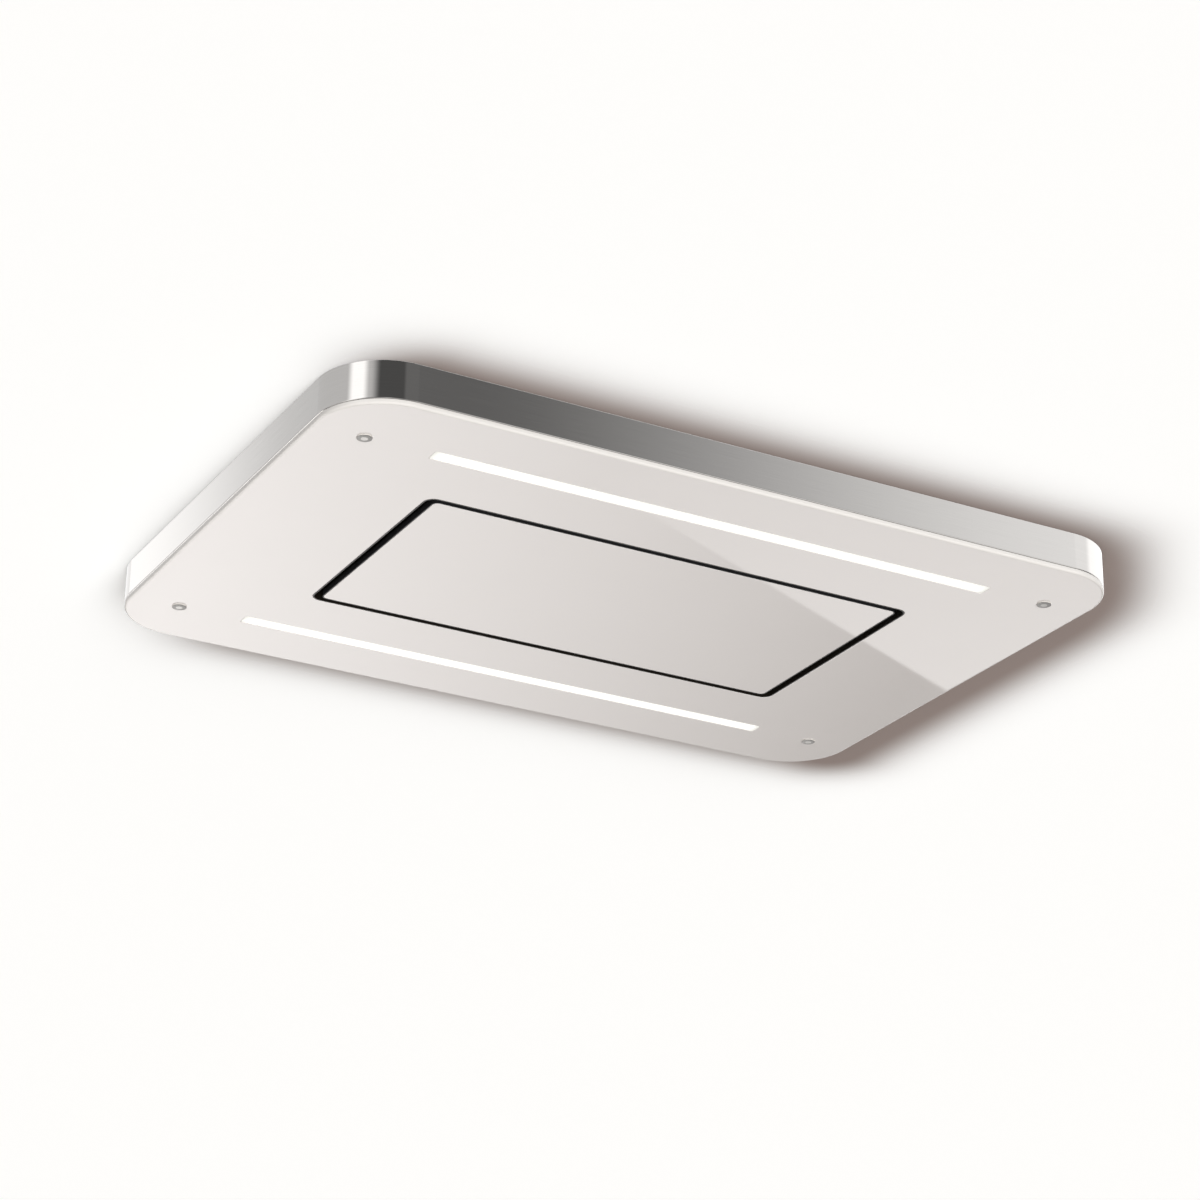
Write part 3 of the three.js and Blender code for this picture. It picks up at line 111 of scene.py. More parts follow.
def new_material(name, colour, roughness, metallic=0.0, **sockets):
    """A material with its shader set: the constant values stand on the shader's own sockets."""
    material = bpy.data.materials.new(name)
    material.use_nodes = True
    tree = material.node_tree
    shader = tree.nodes["Principled BSDF"]
    shader.inputs["Base Color"].default_value = (*colour, 1)
    shader.inputs["Roughness"].default_value = roughness
    shader.inputs["Metallic"].default_value = metallic
    for key, value in sockets.items():
        shader.inputs[key.replace("_", " ")].default_value = value
    return material, tree, shader


def place_pattern(tree, scale, source="Object"):
    """Coordinates of a pattern in metres on the piece, stretched by a scale along each axis."""
    coordinates = add_node(tree, "ShaderNodeTexCoord")
    mapping = add_node(tree, "ShaderNodeMapping", {"Scale": scale}, {"Vector": coordinates.outputs[source]})
    return mapping.outputs["Vector"]


def spread(tree, value, low, high, from_low=0.3, from_high=0.7):
    """A pattern's value stretched from its usual range to low and high."""
    settings = {"From Min": from_low, "From Max": from_high, "To Min": low, "To Max": high}
    return add_node(tree, "ShaderNodeMapRange", settings, {"Value": value}).outputs["Result"]


def tint(tree, shader, colour, amount, light, dark):
    """Colour variation: the base colour goes from dark to light times itself with a pattern's amount."""
    ends = {
        "data_type": "RGBA",
        6: (*(c * dark for c in colour), 1),
        7: (*(min(1.0, c * light) for c in colour), 1),
    }
    mix = add_node(tree, "ShaderNodeMix", ends, {0: amount})
    tree.links.new(mix.outputs[2], shader.inputs["Base Color"])


def roughen(tree, shader, pattern, smooth, rough):
    """Roughness that goes from smooth to rough with a pattern."""
    tree.links.new(spread(tree, pattern, smooth, rough), shader.inputs["Roughness"])


def relief(tree, shader, height, distance, strength=1.0):
    """Bump from a pattern's height, with its depth in metres."""
    settings = {"Distance": distance, "Strength": strength}
    bump = add_node(tree, "ShaderNodeBump", settings, {"Height": height})
    tree.links.new(bump.outputs["Normal"], shader.inputs["Normal"])


# ------------------------------------------------------------------ materials


def back_painted_glass(colours):
    """Toughened float glass, painted white on its hidden face: a deep gloss over a warm white."""
    colour = tuple(colours.glass)
    material, tree, shader = new_material("back_painted_float_glass", colour, 0.01, IOR=1.52)
    # Wiping leaves the gloss slightly uneven over a hand's breadth, 90 mm
    coordinates = place_pattern(tree, (1, 1, 1))
    wiped = add_node(tree, "ShaderNodeTexNoise", {"Scale": 1 / 0.09, "Detail": 3}, {"Vector": coordinates})
    roughen(tree, shader, wiped.outputs["Fac"], 0.006, 0.014)
    tint(tree, shader, colour, spread(tree, wiped.outputs["Fac"], 0, 1), 1.004, 0.994)
    return material


def polished_glass_edge(colours):
    """The ground and polished edge of the same glass: a touch darker, and a little softer in its gloss."""
    colour = tuple(colours.glass_edge)
    material, tree, shader = new_material("polished_glass_edge", colour, 0.12, IOR=1.52)
    # Marks of the grinding wheel, 1.5 mm apart
    coordinates = place_pattern(tree, (1, 1, 0.05))
    marks = add_node(tree, "ShaderNodeTexNoise", {"Scale": 1 / 0.0015, "Detail": 1}, {"Vector": coordinates})
    roughen(tree, shader, marks.outputs["Fac"], 0.08, 0.2)
    return material


def polished_steel(colours):
    """Stainless steel 304, belt-ground along its length and polished: fine lines that stretch reflections."""
    colour = tuple(colours.steel)
    material, tree, shader = new_material("polished_stainless_steel", colour, 0.07, 1.0)
    # Grinding lines 0.7 mm apart across the band, 60 mm long: drawn coarser than real so that they show
    coordinates = place_pattern(tree, (1 / 0.06, 1 / 0.0007, 1), "UV")
    lines = add_node(tree, "ShaderNodeTexNoise", {"Scale": 1, "Detail": 3}, {"Vector": coordinates})
    roughen(tree, shader, lines.outputs["Fac"], 0.035, 0.07)
    tint(tree, shader, colour, spread(tree, lines.outputs["Fac"], 0, 1), 1.02, 0.97)
    relief(tree, shader, lines.outputs["Fac"], 0.00002, 0.15)
    return material


def grained_metal(name, colour, grain, detail, smooth, rough):
    """Bare metal whose roughness goes from smooth to rough with a fine grain, its size in metres."""
    material, tree, shader = new_material(name, colour, (smooth + rough) / 2, 1.0)
    coordinates = place_pattern(tree, (1, 1, 1))
    texture = add_node(
        tree, "ShaderNodeTexNoise", {"Scale": 1 / grain, "Detail": detail}, {"Vector": coordinates}
    )
    roughen(tree, shader, texture.outputs["Fac"], smooth, rough)
    return material


def turned_steel(colours):
    """Stainless steel turned on a lathe and left satin: greyer than the polished band, marks of 0.6 mm."""
    colour = tuple(0.68 * channel for channel in colours.steel)
    return grained_metal("satin_turned_steel", colour, 0.0006, 2, 0.38, 0.5)


def blasted_steel(colours):
    """Stainless steel, blasted with glass beads: grey and dull, with a grain of 0.3 mm."""
    colour = tuple(0.5 * channel for channel in colours.steel)
    return grained_metal("blasted_stainless_steel", colour, 0.0003, 1, 0.55, 0.68)


def zinc_sheet(colours):
    """Hot-dip galvanised sheet: grey zinc with a spangle of crystals about 9 mm across."""
    colour = tuple(colours.zinc)
    material, tree, shader = new_material("galvanised_sheet", colour, 0.4, 1.0)
    coordinates = place_pattern(tree, (1, 1, 1))
    spangle = add_node(tree, "ShaderNodeTexVoronoi", {"Scale": 1 / 0.009}, {"Vector": coordinates})
    crystal = add_node(tree, "ShaderNodeSeparateColor", None, {"Color": spangle.outputs["Color"]})
    cloud = add_node(tree, "ShaderNodeTexNoise", {"Scale": 1 / 0.05, "Detail": 4}, {"Vector": coordinates})
    tint(tree, shader, colour, crystal.outputs["Red"], 1.06, 0.9)
    rough = add_node(
        tree,
        "ShaderNodeMath",
        {"operation": "MULTIPLY_ADD", 1: 0.14},
        {0: crystal.outputs["Green"], 2: spread(tree, cloud.outputs["Fac"], 0.3, 0.42)},
    )
    tree.links.new(rough.outputs[0], shader.inputs["Roughness"])
    relief(tree, shader, cloud.outputs["Fac"], 0.0002, 0.3)
    return material


def powder_coat(colours):
    """Black polyester powder coat on steel: low gloss with a fine orange peel, 1.4 mm from hump to hump."""
    colour = tuple(colours.black_coat)
    material, tree, shader = new_material("black_powder_coat", colour, 0.42, Specular_IOR_Level=0.4)
    coordinates = place_pattern(tree, (1, 1, 1))
    peel = add_node(tree, "ShaderNodeTexNoise", {"Scale": 1 / 0.0014, "Detail": 1}, {"Vector": coordinates})
    relief(tree, shader, peel.outputs["Fac"], 0.00012, 0.35)
    roughen(tree, shader, peel.outputs["Fac"], 0.36, 0.48)
    tint(tree, shader, colour, peel.outputs["Fac"], 1.15, 0.9)
    return material


def moulded(name, colour, roughness, grain):
    """Injection-moulded plastic with an eroded mould's fine grain, its size in metres."""
    material, tree, shader = new_material(name, colour, roughness, IOR=1.53)
    coordinates = place_pattern(tree, (1, 1, 1))
    texture = add_node(tree, "ShaderNodeTexNoise", {"Scale": 1 / grain, "Detail": 2}, {"Vector": coordinates})
    relief(tree, shader, texture.outputs["Fac"], grain / 10, 0.4)
    roughen(tree, shader, texture.outputs["Fac"], roughness - 0.06, roughness + 0.08)
    tint(tree, shader, colour, texture.outputs["Fac"], 1.1, 0.92)
    return material


def grey_abs(colours):
    """ABS of the electrics boxes."""
    return moulded("grey_moulded_abs", tuple(colours.grey_plastic), 0.48, 0.0012)


def black_nylon(colours):
    """Glass-filled nylon of the trim and the cable gland."""
    return moulded("black_moulded_nylon", tuple(colours.black_plastic), 0.45, 0.001)


def natural_nylon(colours):
    """Uncoloured nylon of the studs' washers: milky white."""
    return moulded("natural_moulded_nylon", tuple(colours.washer), 0.4, 0.001)


def wheel_nylon(colours):
    """Glass-filled nylon of the fan wheel: short fibres leave a faint sparkle."""
    return moulded("dark_filled_nylon", tuple(colours.wheel), 0.38, 0.0008)


def rubber(colours):
    """Natural rubber of the vibration mounts: dull, with a bloom."""
    return moulded("natural_rubber", tuple(colours.rubber), 0.75, 0.0018)


def anodised_aluminium(colours):
    """Extruded aluminium, anodised: die lines 0.8 mm apart run along X."""
    colour = tuple(colours.aluminium)
    material, tree, shader = new_material("extruded_anodised_aluminium", colour, 0.32, 1.0)
    coordinates = place_pattern(tree, (1 / 0.2, 1 / 0.0008, 1 / 0.0008))
    lines = add_node(tree, "ShaderNodeTexNoise", {"Scale": 1, "Detail": 2}, {"Vector": coordinates})
    roughen(tree, shader, lines.outputs["Fac"], 0.26, 0.4)
    tint(tree, shader, colour, spread(tree, lines.outputs["Fac"], 0, 1), 1.03, 0.94)
    relief(tree, shader, lines.outputs["Fac"], 0.00003, 0.4)
    return material


def mill_aluminium(colours):
    """Folded aluminium sheet in its mill finish: satin, with faint clouds 6 mm across."""
    colour = tuple(colours.aluminium)
    material, tree, shader = new_material("mill_finish_aluminium", colour, 0.36, 1.0)
    coordinates = place_pattern(tree, (1, 1, 1))
    cloud = add_node(tree, "ShaderNodeTexNoise", {"Scale": 1 / 0.006, "Detail": 4}, {"Vector": coordinates})
    roughen(tree, shader, cloud.outputs["Fac"], 0.3, 0.42)
    tint(tree, shader, colour, spread(tree, cloud.outputs["Fac"], 0, 1), 1.03, 0.95)
    return material


def filter_mesh(colours):
    """Layers of expanded aluminium mesh: diamond holes 5.7 mm by 3.5 mm, with painted shade where they go
    through.
    """
    colour = tuple(colours.aluminium)
    material, tree, shader = new_material("expanded_aluminium_mesh", colour, 0.35, 1.0)
    # Two sets of slanting strands. At a scale of 0.32 a wave has one crest per unit, and a unit is 4 mm
    # along X and 2.5 mm along Y before the turn by 45 degrees, which makes them 1.41 times as far apart
    heights = []
    for turn in (-1, 1):
        coordinates = add_node(tree, "ShaderNodeTexCoord")
        settings = {"Scale": (1 / 0.004, 1 / 0.0025, 0), "Rotation": (0, 0, turn * math.radians(45))}
        mapping = add_node(tree, "ShaderNodeMapping", settings, {"Vector": coordinates.outputs["Object"]})
        wires = {"Scale": 0.32, "wave_profile": "SIN", "Distortion": 0.6, "Detail": 1}
        heights.append(add_node(tree, "ShaderNodeTexWave", wires, {"Vector": mapping.outputs["Vector"]}))
    strands = add_node(
        tree,
        "ShaderNodeMath",
        {"operation": "MAXIMUM"},
        {0: heights[0].outputs["Fac"], 1: heights[1].outputs["Fac"]},
    )
    # Painted shade in the holes: between the strands the colour drops to a fifth, standing for the dark seen
    # through them
    tint(tree, shader, colour, spread(tree, strands.outputs[0], 0, 1, 0.35, 0.8), 1.0, 0.2)
    relief(tree, shader, strands.outputs[0], 0.0006)
    return material


def opal_acrylic(colours):
    """Opal acrylic lit from behind: an even white glow that falls off over its last 8 mm."""
    colour = tuple(colours.opal)
    material, tree, shader = new_material("lit_opal_acrylic", colour, 0.35, IOR=1.49)
    shader.inputs["Emission Strength"].default_value = 0.66
    coordinates = place_pattern(tree, (1, 1, 1))
    low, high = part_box("led_board_far")
    sizes = bpy.context.scene.hood_sizes
    fall_off = 8 * MM
    side_fall_off = 4.5 * MM
    reach = high.x + sizes.strip_end - fall_off
    middle = (low.y + high.y) / 2
    half = sizes.strip_width / 2 - side_fall_off
    mirrored = add_node(tree, "ShaderNodeVectorMath", {"operation": "ABSOLUTE"}, {0: coordinates})
    along_y = (middle - half, middle + half)
    away = outside(tree, mirrored.outputs["Vector"], (-reach, reach), along_y, 2 * MM)
    glow = spread(tree, away, 0, 1, 0, fall_off)
    ends = {"data_type": "RGBA", 6: (*linear("#fffffa"), 1), 7: (*linear("#b8b8b2"), 1)}
    fall = add_node(tree, "ShaderNodeMix", ends, {0: glow})
    tree.links.new(fall.outputs[2], shader.inputs["Emission Color"])
    cloud = add_node(tree, "ShaderNodeTexNoise", {"Scale": 1 / 0.02, "Detail": 2}, {"Vector": coordinates})
    roughen(tree, shader, cloud.outputs["Fac"], 0.3, 0.4)
    return material


def led_board(colours):
    """White solder mask with a row of yellow phosphor chips, 10 mm apart along X."""
    colour = tuple(colours.opal)
    material, tree, shader = new_material("white_solder_mask", colour, 0.45)
    coordinates = place_pattern(tree, (1 / 0.01, 1, 1))
    along = add_node(tree, "ShaderNodeSeparateXYZ", None, {"Vector": coordinates})
    repeat = add_node(tree, "ShaderNodeMath", {"operation": "PINGPONG", 1: 0.5}, {0: along.outputs["X"]})
    chip = add_node(tree, "ShaderNodeMath", {"operation": "LESS_THAN", 1: 0.14}, {0: repeat.outputs[0]})
    ends = {"data_type": "RGBA", 6: (*colour, 1), 7: (*linear("#e8c243"), 1)}
    mix = add_node(tree, "ShaderNodeMix", ends, {0: chip.outputs[0]})
    tree.links.new(mix.outputs[2], shader.inputs["Base Color"])
    return material


def bright_pin(colours):
    """Drawn bright steel of pins and shafts, lightly oiled: smooth, with specks of 0.9 mm."""
    return grained_metal("drawn_bright_steel", tuple(colours.pin), 0.0009, 2, 0.18, 0.3)


def plated_steel(colours):
    """Zinc-plated steel of screws and rivets, blue-passivated: bright, with a faint cool cast."""
    colour = tuple(colours.plating)
    material, tree, shader = new_material("zinc_plated_steel", colour, 0.28, 1.0)
    # Grains of the plating, 0.5 mm across
    coordinates = place_pattern(tree, (1, 1, 1))
    grain = add_node(tree, "ShaderNodeTexNoise", {"Scale": 1 / 0.0005, "Detail": 2}, {"Vector": coordinates})
    roughen(tree, shader, grain.outputs["Fac"], 0.22, 0.36)
    tint(tree, shader, colour, grain.outputs["Fac"], 1.05, 0.9)
    return material


def ferrite(colours):
    """Sintered ferrite block in its dark plastic shell."""
    return moulded("sintered_ferrite", tuple(colours.ferrite), 0.5, 0.0015)


def shared(maker):
    """The material of a maker function, made once."""
    key = f"made_{maker.__name__}"
    scene = bpy.context.scene
    if key not in scene:
        scene[key] = maker(scene.hood_colours).name
    return bpy.data.materials[scene[key]]


# ------------------------------------------------------------------ shape helpers


def rounded_outline(half_x, half_y, radius, steps=12, centre=(0, 0)):
    """Outline of a rounded rectangle and its outward normals, counter-clockwise.

    In each corner the normal is (cos a, sin a) over a quarter turn, and the point is the corner's
    centre plus radius times the normal.
    """
    quarters = np.arange(4)[:, None] * math.pi / 2
    angles = quarters + np.linspace(0, math.pi / 2, steps + 1)
    normals = np.stack([np.cos(angles), np.sin(angles)], -1)
    corners = np.array([[1, 1], [-1, 1], [-1, -1], [1, -1]])[:, None, :]
    middles = corners * (np.array([half_x, half_y]) - radius) + centre
    return (middles + radius * normals).reshape(-1, 2), normals.reshape(-1, 2)


def round_outline(radius, steps=32, centre=(0, 0)):
    """Outline of a circle and its outward normals, counter-clockwise."""
    angles = np.arange(steps) * 2 * math.pi / steps
    normals = np.stack([np.cos(angles), np.sin(angles)], -1)
    return radius * normals + centre, normals


def eased(corners, radius, steps=3, closed=False):
    """A profile with each corner rounded: cut back by its radius and bridged by a quadratic curve.

    Between the cut points p and q of a corner c the curve is (1-t)^2 p + 2t(1-t) c + t^2 q.
    """
    points = np.array(corners, float)
    before = np.roll(points, 1, axis=0)
    after = np.roll(points, -1, axis=0)
    back = before - points
    ahead = after - points
    back_length = np.linalg.norm(back, axis=1, keepdims=True)
    ahead_length = np.linalg.norm(ahead, axis=1, keepdims=True)
    cut = np.minimum(radius, 0.45 * np.minimum(back_length, ahead_length))
    if not closed:
        cut[[0, -1]] = 0
    start = points + back / back_length * cut
    end = points + ahead / ahead_length * cut
    t = np.linspace(0, 1, steps + 1)[None, :, None]
    curve = (1 - t) ** 2 * start[:, None] + 2 * t * (1 - t) * points[:, None] + t**2 * end[:, None]
    if closed:
        return curve.reshape(-1, 2)
    return np.concatenate([points[:1], curve[1:-1].reshape(-1, 2), points[-1:]])


def carried(outline, profile, closed=False, inward=False):
    """A profile carried round an outline, as a patch of points, faces and UV.

    Each point of the profile is (out, z): an outline point p with normal n gives (p + out * n, z).
    U is the length round the outline and V the length along the profile, both in metres. Faces point
    outwards where the profile runs upwards, and the other way with inward.
    """
    points, normals = (np.concatenate([part, part[:1]]) for part in outline)
    section = np.concatenate([profile, profile[:1]]) if closed else np.asarray(profile, float)
    flat = points[:, None] + normals[:, None] * section[None, :, :1]
    height = np.broadcast_to(section[None, :, 1:], (*flat.shape[:2], 1))
    grid = np.concatenate([flat, height], -1)
    rows, columns = grid.shape[:2]
    u = np.concatenate([[0], np.cumsum(np.linalg.norm(np.diff(points, axis=0), axis=1))])
    v = np.concatenate([[0], np.cumsum(np.linalg.norm(np.diff(section, axis=0), axis=1))])
    uv = np.stack(np.meshgrid(u, v, indexing="ij"), -1)
    return grid.reshape(-1, 3), grid_faces(rows, columns, inward), uv.reshape(-1, 2)


def grid_faces(rows, columns, flipped=False):
    """Quads of a grid of points, numbered row by row."""
    first = (np.arange(rows - 1)[:, None] * columns + np.arange(columns - 1)).reshape(-1)
    quads = np.stack([first, first + columns, first + columns + 1, first + 1], -1)
    return (quads[:, ::-1] if flipped else quads).tolist()


def cap(loops, height, upwards):
    """A flat face at one height between an outer loop and its holes, as a patch of triangles."""
    flat = np.concatenate(loops)
    points = np.column_stack([flat, np.full(len(flat), height)])
    triangles = np.array(tessellate_polygon([[Vector((*p, 0)) for p in loop] for loop in loops]))
    a, b, c = (flat[triangles[:, i]] for i in range(3))
    area = (b[:, 0] - a[:, 0]) * (c[:, 1] - a[:, 1]) - (b[:, 1] - a[:, 1]) * (c[:, 0] - a[:, 0])
    wrong = (area < 0) == upwards
    triangles[wrong] = triangles[wrong][:, ::-1]
    return points, triangles[np.abs(area) > 1e-14].tolist(), flat


def plate(outlines, bottom, top, arris, pencil=0, steps=3):
    """A flat plate from one level to another, with holes, and an arris rounded into every edge.

    The first outline is the edge and the others are holes. The edge's profile goes from the bottom
    face up to the top face, and each face is filled between the loops where the profiles end. The
    bottom of the outer edge may have a larger rounding, a quarter circle of radius pencil.
    """
    patches = []
    faces = ([], [])
    for number, outline in enumerate(outlines):
        side = -1 if number == 0 else 1
        corners = [(side * arris * 1.5, bottom), (0, bottom), (0, top), (side * arris * 1.5, top)]
        profile = eased(corners, arris, steps)
        if pencil and number == 0:
            turn = np.linspace(0, math.pi / 2, 9)
            quarter = np.column_stack([pencil * (np.sin(turn) - 1), bottom + pencil * (1 - np.cos(turn))])
            profile = np.concatenate([[(-pencil * 1.3, bottom)], quarter, profile[steps + 2 :]])
        patches.append(carried(outline, profile, inward=number > 0))
        for loops, end in zip(faces, (0, -1)):
            loops.append(outline[0] + outline[1] * profile[end, 0])
    patches.append(cap(faces[0], bottom, False))
    patches.append(cap(faces[1], top, True))
    return patches


def turned(profile, steps=32, centre=(0, 0)):
    """A profile of (radius, z) turned about the vertical through a centre: a circle of radius 0 carried
    outwards by the radius."""
    outline = round_outline(0, steps, centre)
    return carried(outline, np.asarray(profile, float))


def set_out(patches, places, axis="Z"):
    """Copies of patches drawn about Z at the origin: turned to another axis, one at each place."""
    turns = {
        "X": [[0, 0, 1], [1, 0, 0], [0, 1, 0]],
        "-X": [[0, 0, -1], [-1, 0, 0], [0, 1, 0]],
        "Y": [[1, 0, 0], [0, 0, 1], [0, -1, 0]],
        "-Y": [[1, 0, 0], [0, 0, -1], [0, 1, 0]],
        "Z": [[1, 0, 0], [0, 1, 0], [0, 0, 1]],
        "-Z": [[1, 0, 0], [0, -1, 0], [0, 0, -1]],
    }
    turn = np.array(turns[axis], float).T
    return [(points @ turn + np.array(place), faces, uv) for place in places for points, faces, uv in patches]


def hexagon_screw(thread):
    """A hexagon screw head on its washer, for a thread diameter. Each is a profile turned about Z, the
    hexagon's in six steps."""
    washer = thread * 1.05
    head = thread * 0.92
    top = thread * 0.78
    disc = [(0, 0), (washer, 0), (washer, 0.16 * thread), (0, 0.16 * thread)]
    foot = 0.1 * thread
    block = [(0, foot), (head, foot), (head, top - foot), (0.82 * head, top), (0, top)]
    return [turned(eased(disc, 0.05 * thread, 2), 24), turned(block, 6)]


def cross_screw(radius):
    """A pan-head screw with a cross recess: a dome turned about Z, where the radius of the recess at the
    angle a is r (1 + 0.42 cos 4a)."""
    dome = [(0, 0), (1, 0), (1, 0.2), (0.93, 0.42), (0.74, 0.58), (0.46, 0.64), (0.2, 0.3), (0, 0.28)]
    profile = radius * np.array(dome)
    lobes = np.array([0, 0, 0, 0, 0, 0.42, 0.42, 0])
    angles = np.arange(33) * math.pi / 16
    reach = profile[:, 0] * (1 + lobes * np.cos(4 * angles)[:, None])
    height = np.broadcast_to(profile[:, 1], reach.shape)
    points = np.stack([reach * np.cos(angles)[:, None], reach * np.sin(angles)[:, None], height], -1)
    points = points.reshape(-1, 3)
    return [(points, grid_faces(len(angles), len(profile)), points[:, :2])]


def blind_rivet(radius):
    """A blind rivet's domed head with the hole its mandrel leaves: a profile turned about Z."""
    corners = [(0, 0), (1, 0), (1, 0.12), (0.78, 0.46), (0.36, 0.58), (0.3, 0.3), (0, 0.26)]
    return [turned(eased(radius * np.array(corners), 0.1 * radius, 2), 20)]


def pressed_bead(half_length, half_width, height, centre, level):
    """A bead pressed up out of a sheet. At the share t of the way from its edge to its middle line its
    height is height sin^2(pi t / 2)."""
    outline = rounded_outline(half_length, half_width, half_width, 6, centre)
    t = np.linspace(0, 1, 9)
    profile = np.column_stack([-half_width * t, level + height * np.sin(math.pi * t / 2) ** 2])
    return [carried(outline, profile), cap([outline[0]], level, False)]


def make_piece(name, patches, node, material, replaced=None, sharp=30):
    """A piece from patches, welded where they meet, smooth but for edges sharper than an angle.

    It rides with a CAD node's body and stands for that node, or for the nodes that are named.
    """
    points = np.concatenate([p for p, _, _ in patches])
    uv = np.concatenate([t for _, _, t in patches])
    starts = np.cumsum([0] + [len(p) for p, _, _ in patches])
    faces = [[i + start for i in face] for start, (_, part, _) in zip(starts, patches) for face in part]
    mesh = bpy.data.meshes.new(name)
    mesh.from_pydata(points.tolist(), [], faces)
    corners = np.empty(len(mesh.loops), int)
    mesh.loops.foreach_get("vertex_index", corners)
    mesh.uv_layers.new(name="surface").data.foreach_set("uv", uv[corners].astype(np.float32).ravel())
    shape = bmesh.new()
    shape.from_mesh(mesh)
    bmesh.ops.remove_doubles(shape, verts=shape.verts, dist=1e-6)
    shape.to_mesh(mesh)
    shape.free()
    stands_for = (node,) if replaced is None else replaced
    piece = finish_piece(name, mesh, node, material, stands_for, sharp)
    normals = piece.modifiers.new("Flat faces stay flat", "WEIGHTED_NORMAL")
    normals.weight = 100
    normals.keep_sharp = True
    return piece


def finish_piece(name, mesh, node, material, replaced, sharp=30):
    """Shades a mesh, gives it its material and hangs it on the body of a CAD node."""
    mesh.materials.append(material)
    mesh.shade_smooth()
    mesh.set_sharp_from_angle(angle=math.radians(sharp))
    piece = bpy.data.objects.new(name, mesh)
    bpy.context.scene.collection.objects.link(piece)
    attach(piece, NODES[node]["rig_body"])
    if replaced:
        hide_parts(*replaced)
    return piece


def fasten(name, patches, node):
    """Plated steel screws or rivets on a CAD node: they ride with it and stand for no node."""
    return make_piece(name, patches, node, shared(plated_steel), replaced=())


def middle_of(node):
    """The middle of a CAD node's box."""
    low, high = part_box(node)
    return (low + high) / 2


def dress(node, maker):
    """A CAD node that keeps its shape and gets its real material."""
    mesh = NODES[node].data
    mesh.materials.clear()
    mesh.materials.append(shared(maker))


def ease_edges(node, maker, width, segments=2):
    """A copy of a CAD node with its doubles merged, flat faces joined and a bevel on its edges."""
    shape = bmesh.new()
    shape.from_mesh(NODES[node].data)
    bmesh.ops.remove_doubles(shape, verts=shape.verts, dist=1e-6)
    bmesh.ops.dissolve_limit(shape, angle_limit=math.radians(1), verts=shape.verts, edges=shape.edges)
    shape.verts.index_update()
    points = [tuple(v.co) for v in shape.verts]
    faces = [[v.index for v in face.verts] for face in shape.faces]
    shape.free()
    mesh = bpy.data.meshes.new(f"{node}_eased")
    mesh.from_pydata(points, [], faces)
    piece = finish_piece(f"{node}_eased", mesh, node, shared(maker), (node,))
    bevel = piece.modifiers.new("Eased edges", "BEVEL")
    bevel.width = width
    bevel.segments = segments
    bevel.limit_method = "ANGLE"
    bevel.angle_limit = math.radians(32)
    bevel.harden_normals = True
    return piece


# ------------------------------------------------------------------ sizes and colours


def length(name, description, default):
    """A length property, in metres."""
    return bpy.props.FloatProperty(name=name, description=description, default=default, unit="LENGTH")


def colour(name, description, hex_colour):
    """A colour property, from an sRGB hex value."""
    return bpy.props.FloatVectorProperty(
        name=name, description=description, default=linear(hex_colour), subtype="COLOR", size=3, min=0, max=1
    )


class HoodSizes(bpy.types.PropertyGroup):
    """Sizes that the frame's boxes don't give."""

    corner_radius: length("Slab corner", "Radius of the slab's corners in plan", 80 * MM)
    arris: length("Glass arris", "Rounding of the glass edges", 0.6 * MM)
    pencil_edge: length("Pencil edge", "Rounding of the slab's lower edge", 3 * MM)
    opening_length: length("Opening length", "Opening in the glass, along X", 633 * MM)
    opening_depth: length("Opening depth", "Opening in the glass, along Y", 322 * MM)
    opening_radius: length("Opening corner", "Radius of the opening's corners", 14 * MM)
    panel_radius: length("Panel corner", "Radius of the panel's corners", 6 * MM)
    strip_width: length("Light strip width", "Visible width of a light strip", 20 * MM)
    strip_end: length("Light strip end", "How far a strip reaches past its board", 2.2 * MM)
    strip_radius: length("Light strip corner", "Radius at the ends of a light strip", 3 * MM)
    sheet: length("Sheet", "Thickness of the folded steel", 1.2 * MM)
    fold: length("Fold radius", "Outside radius of the folds", 1.6 * MM)
    inlet_throat: length("Inlet throat", "Radius of the fan's inlet", 72 * MM)
    inlet_lip: length("Inlet lip", "Radius of the inlet's flare", 12 * MM)
    wheel_eye: length("Wheel eye", "Radius at which the blades start", 76 * MM)
    wheel_rim: length("Wheel rim", "Radius at which the blades end", 95 * MM)
    blade_sheet: length("Blade", "Thickness of a blade", 1 * MM)
    blade_sweep: bpy.props.FloatProperty(
        name="Blade sweep", description="Turn of a blade", default=math.radians(80), subtype="ANGLE"
    )
    blade_count: bpy.props.IntProperty(name="Blades", description="Blades of the fan wheel", default=36)
    motor_radius: length("Motor", "Radius of the motor's can", 46 * MM)
    duct_radius: length("Duct", "Outer radius of the round outlet", 75 * MM)


class HoodColours(bpy.types.PropertyGroup):
    """Base colours of the finishes."""

    glass: colour("Glass", "White paint seen through the glass", "#e7e3e0")
    glass_edge: colour("Glass edge", "Polished edge of the glass", "#e0ddd9")
    steel: colour("Stainless steel", "Rim and studs", "#cfcdca")
    zinc: colour("Zinc", "Galvanised sheet", "#b9bcbe")
    black_coat: colour("Powder coat", "Black steel", "#16130f")
    opal: colour("Opal", "Light covers", "#c9c9c4")
    aluminium: colour("Aluminium", "Extrusions and filters", "#cdd0d2")
    grey_plastic: colour("Grey plastic", "Electrics boxes", "#5a5c5e")
    black_plastic: colour("Black plastic", "Trim and gland", "#1b1b1c")
    washer: colour("Washers", "Nylon washers of the studs", "#e9e6e0")
    wheel: colour("Wheel", "Fan wheel", "#2b2d2f")
    rubber: colour("Rubber", "Vibration mounts", "#1a1a1a")
    pin: colour("Pins", "Pins and shafts", "#a8a9aa")
    plating: colour("Plating", "Screws and rivets", "#c3c8cc")
    ferrite: colour("Ferrite", "Catch magnets", "#3a3b3c")
    ceiling: colour("Ceiling", "The plain plane under which the hood hangs", "#fffefc")


# ------------------------------------------------------------------ slab


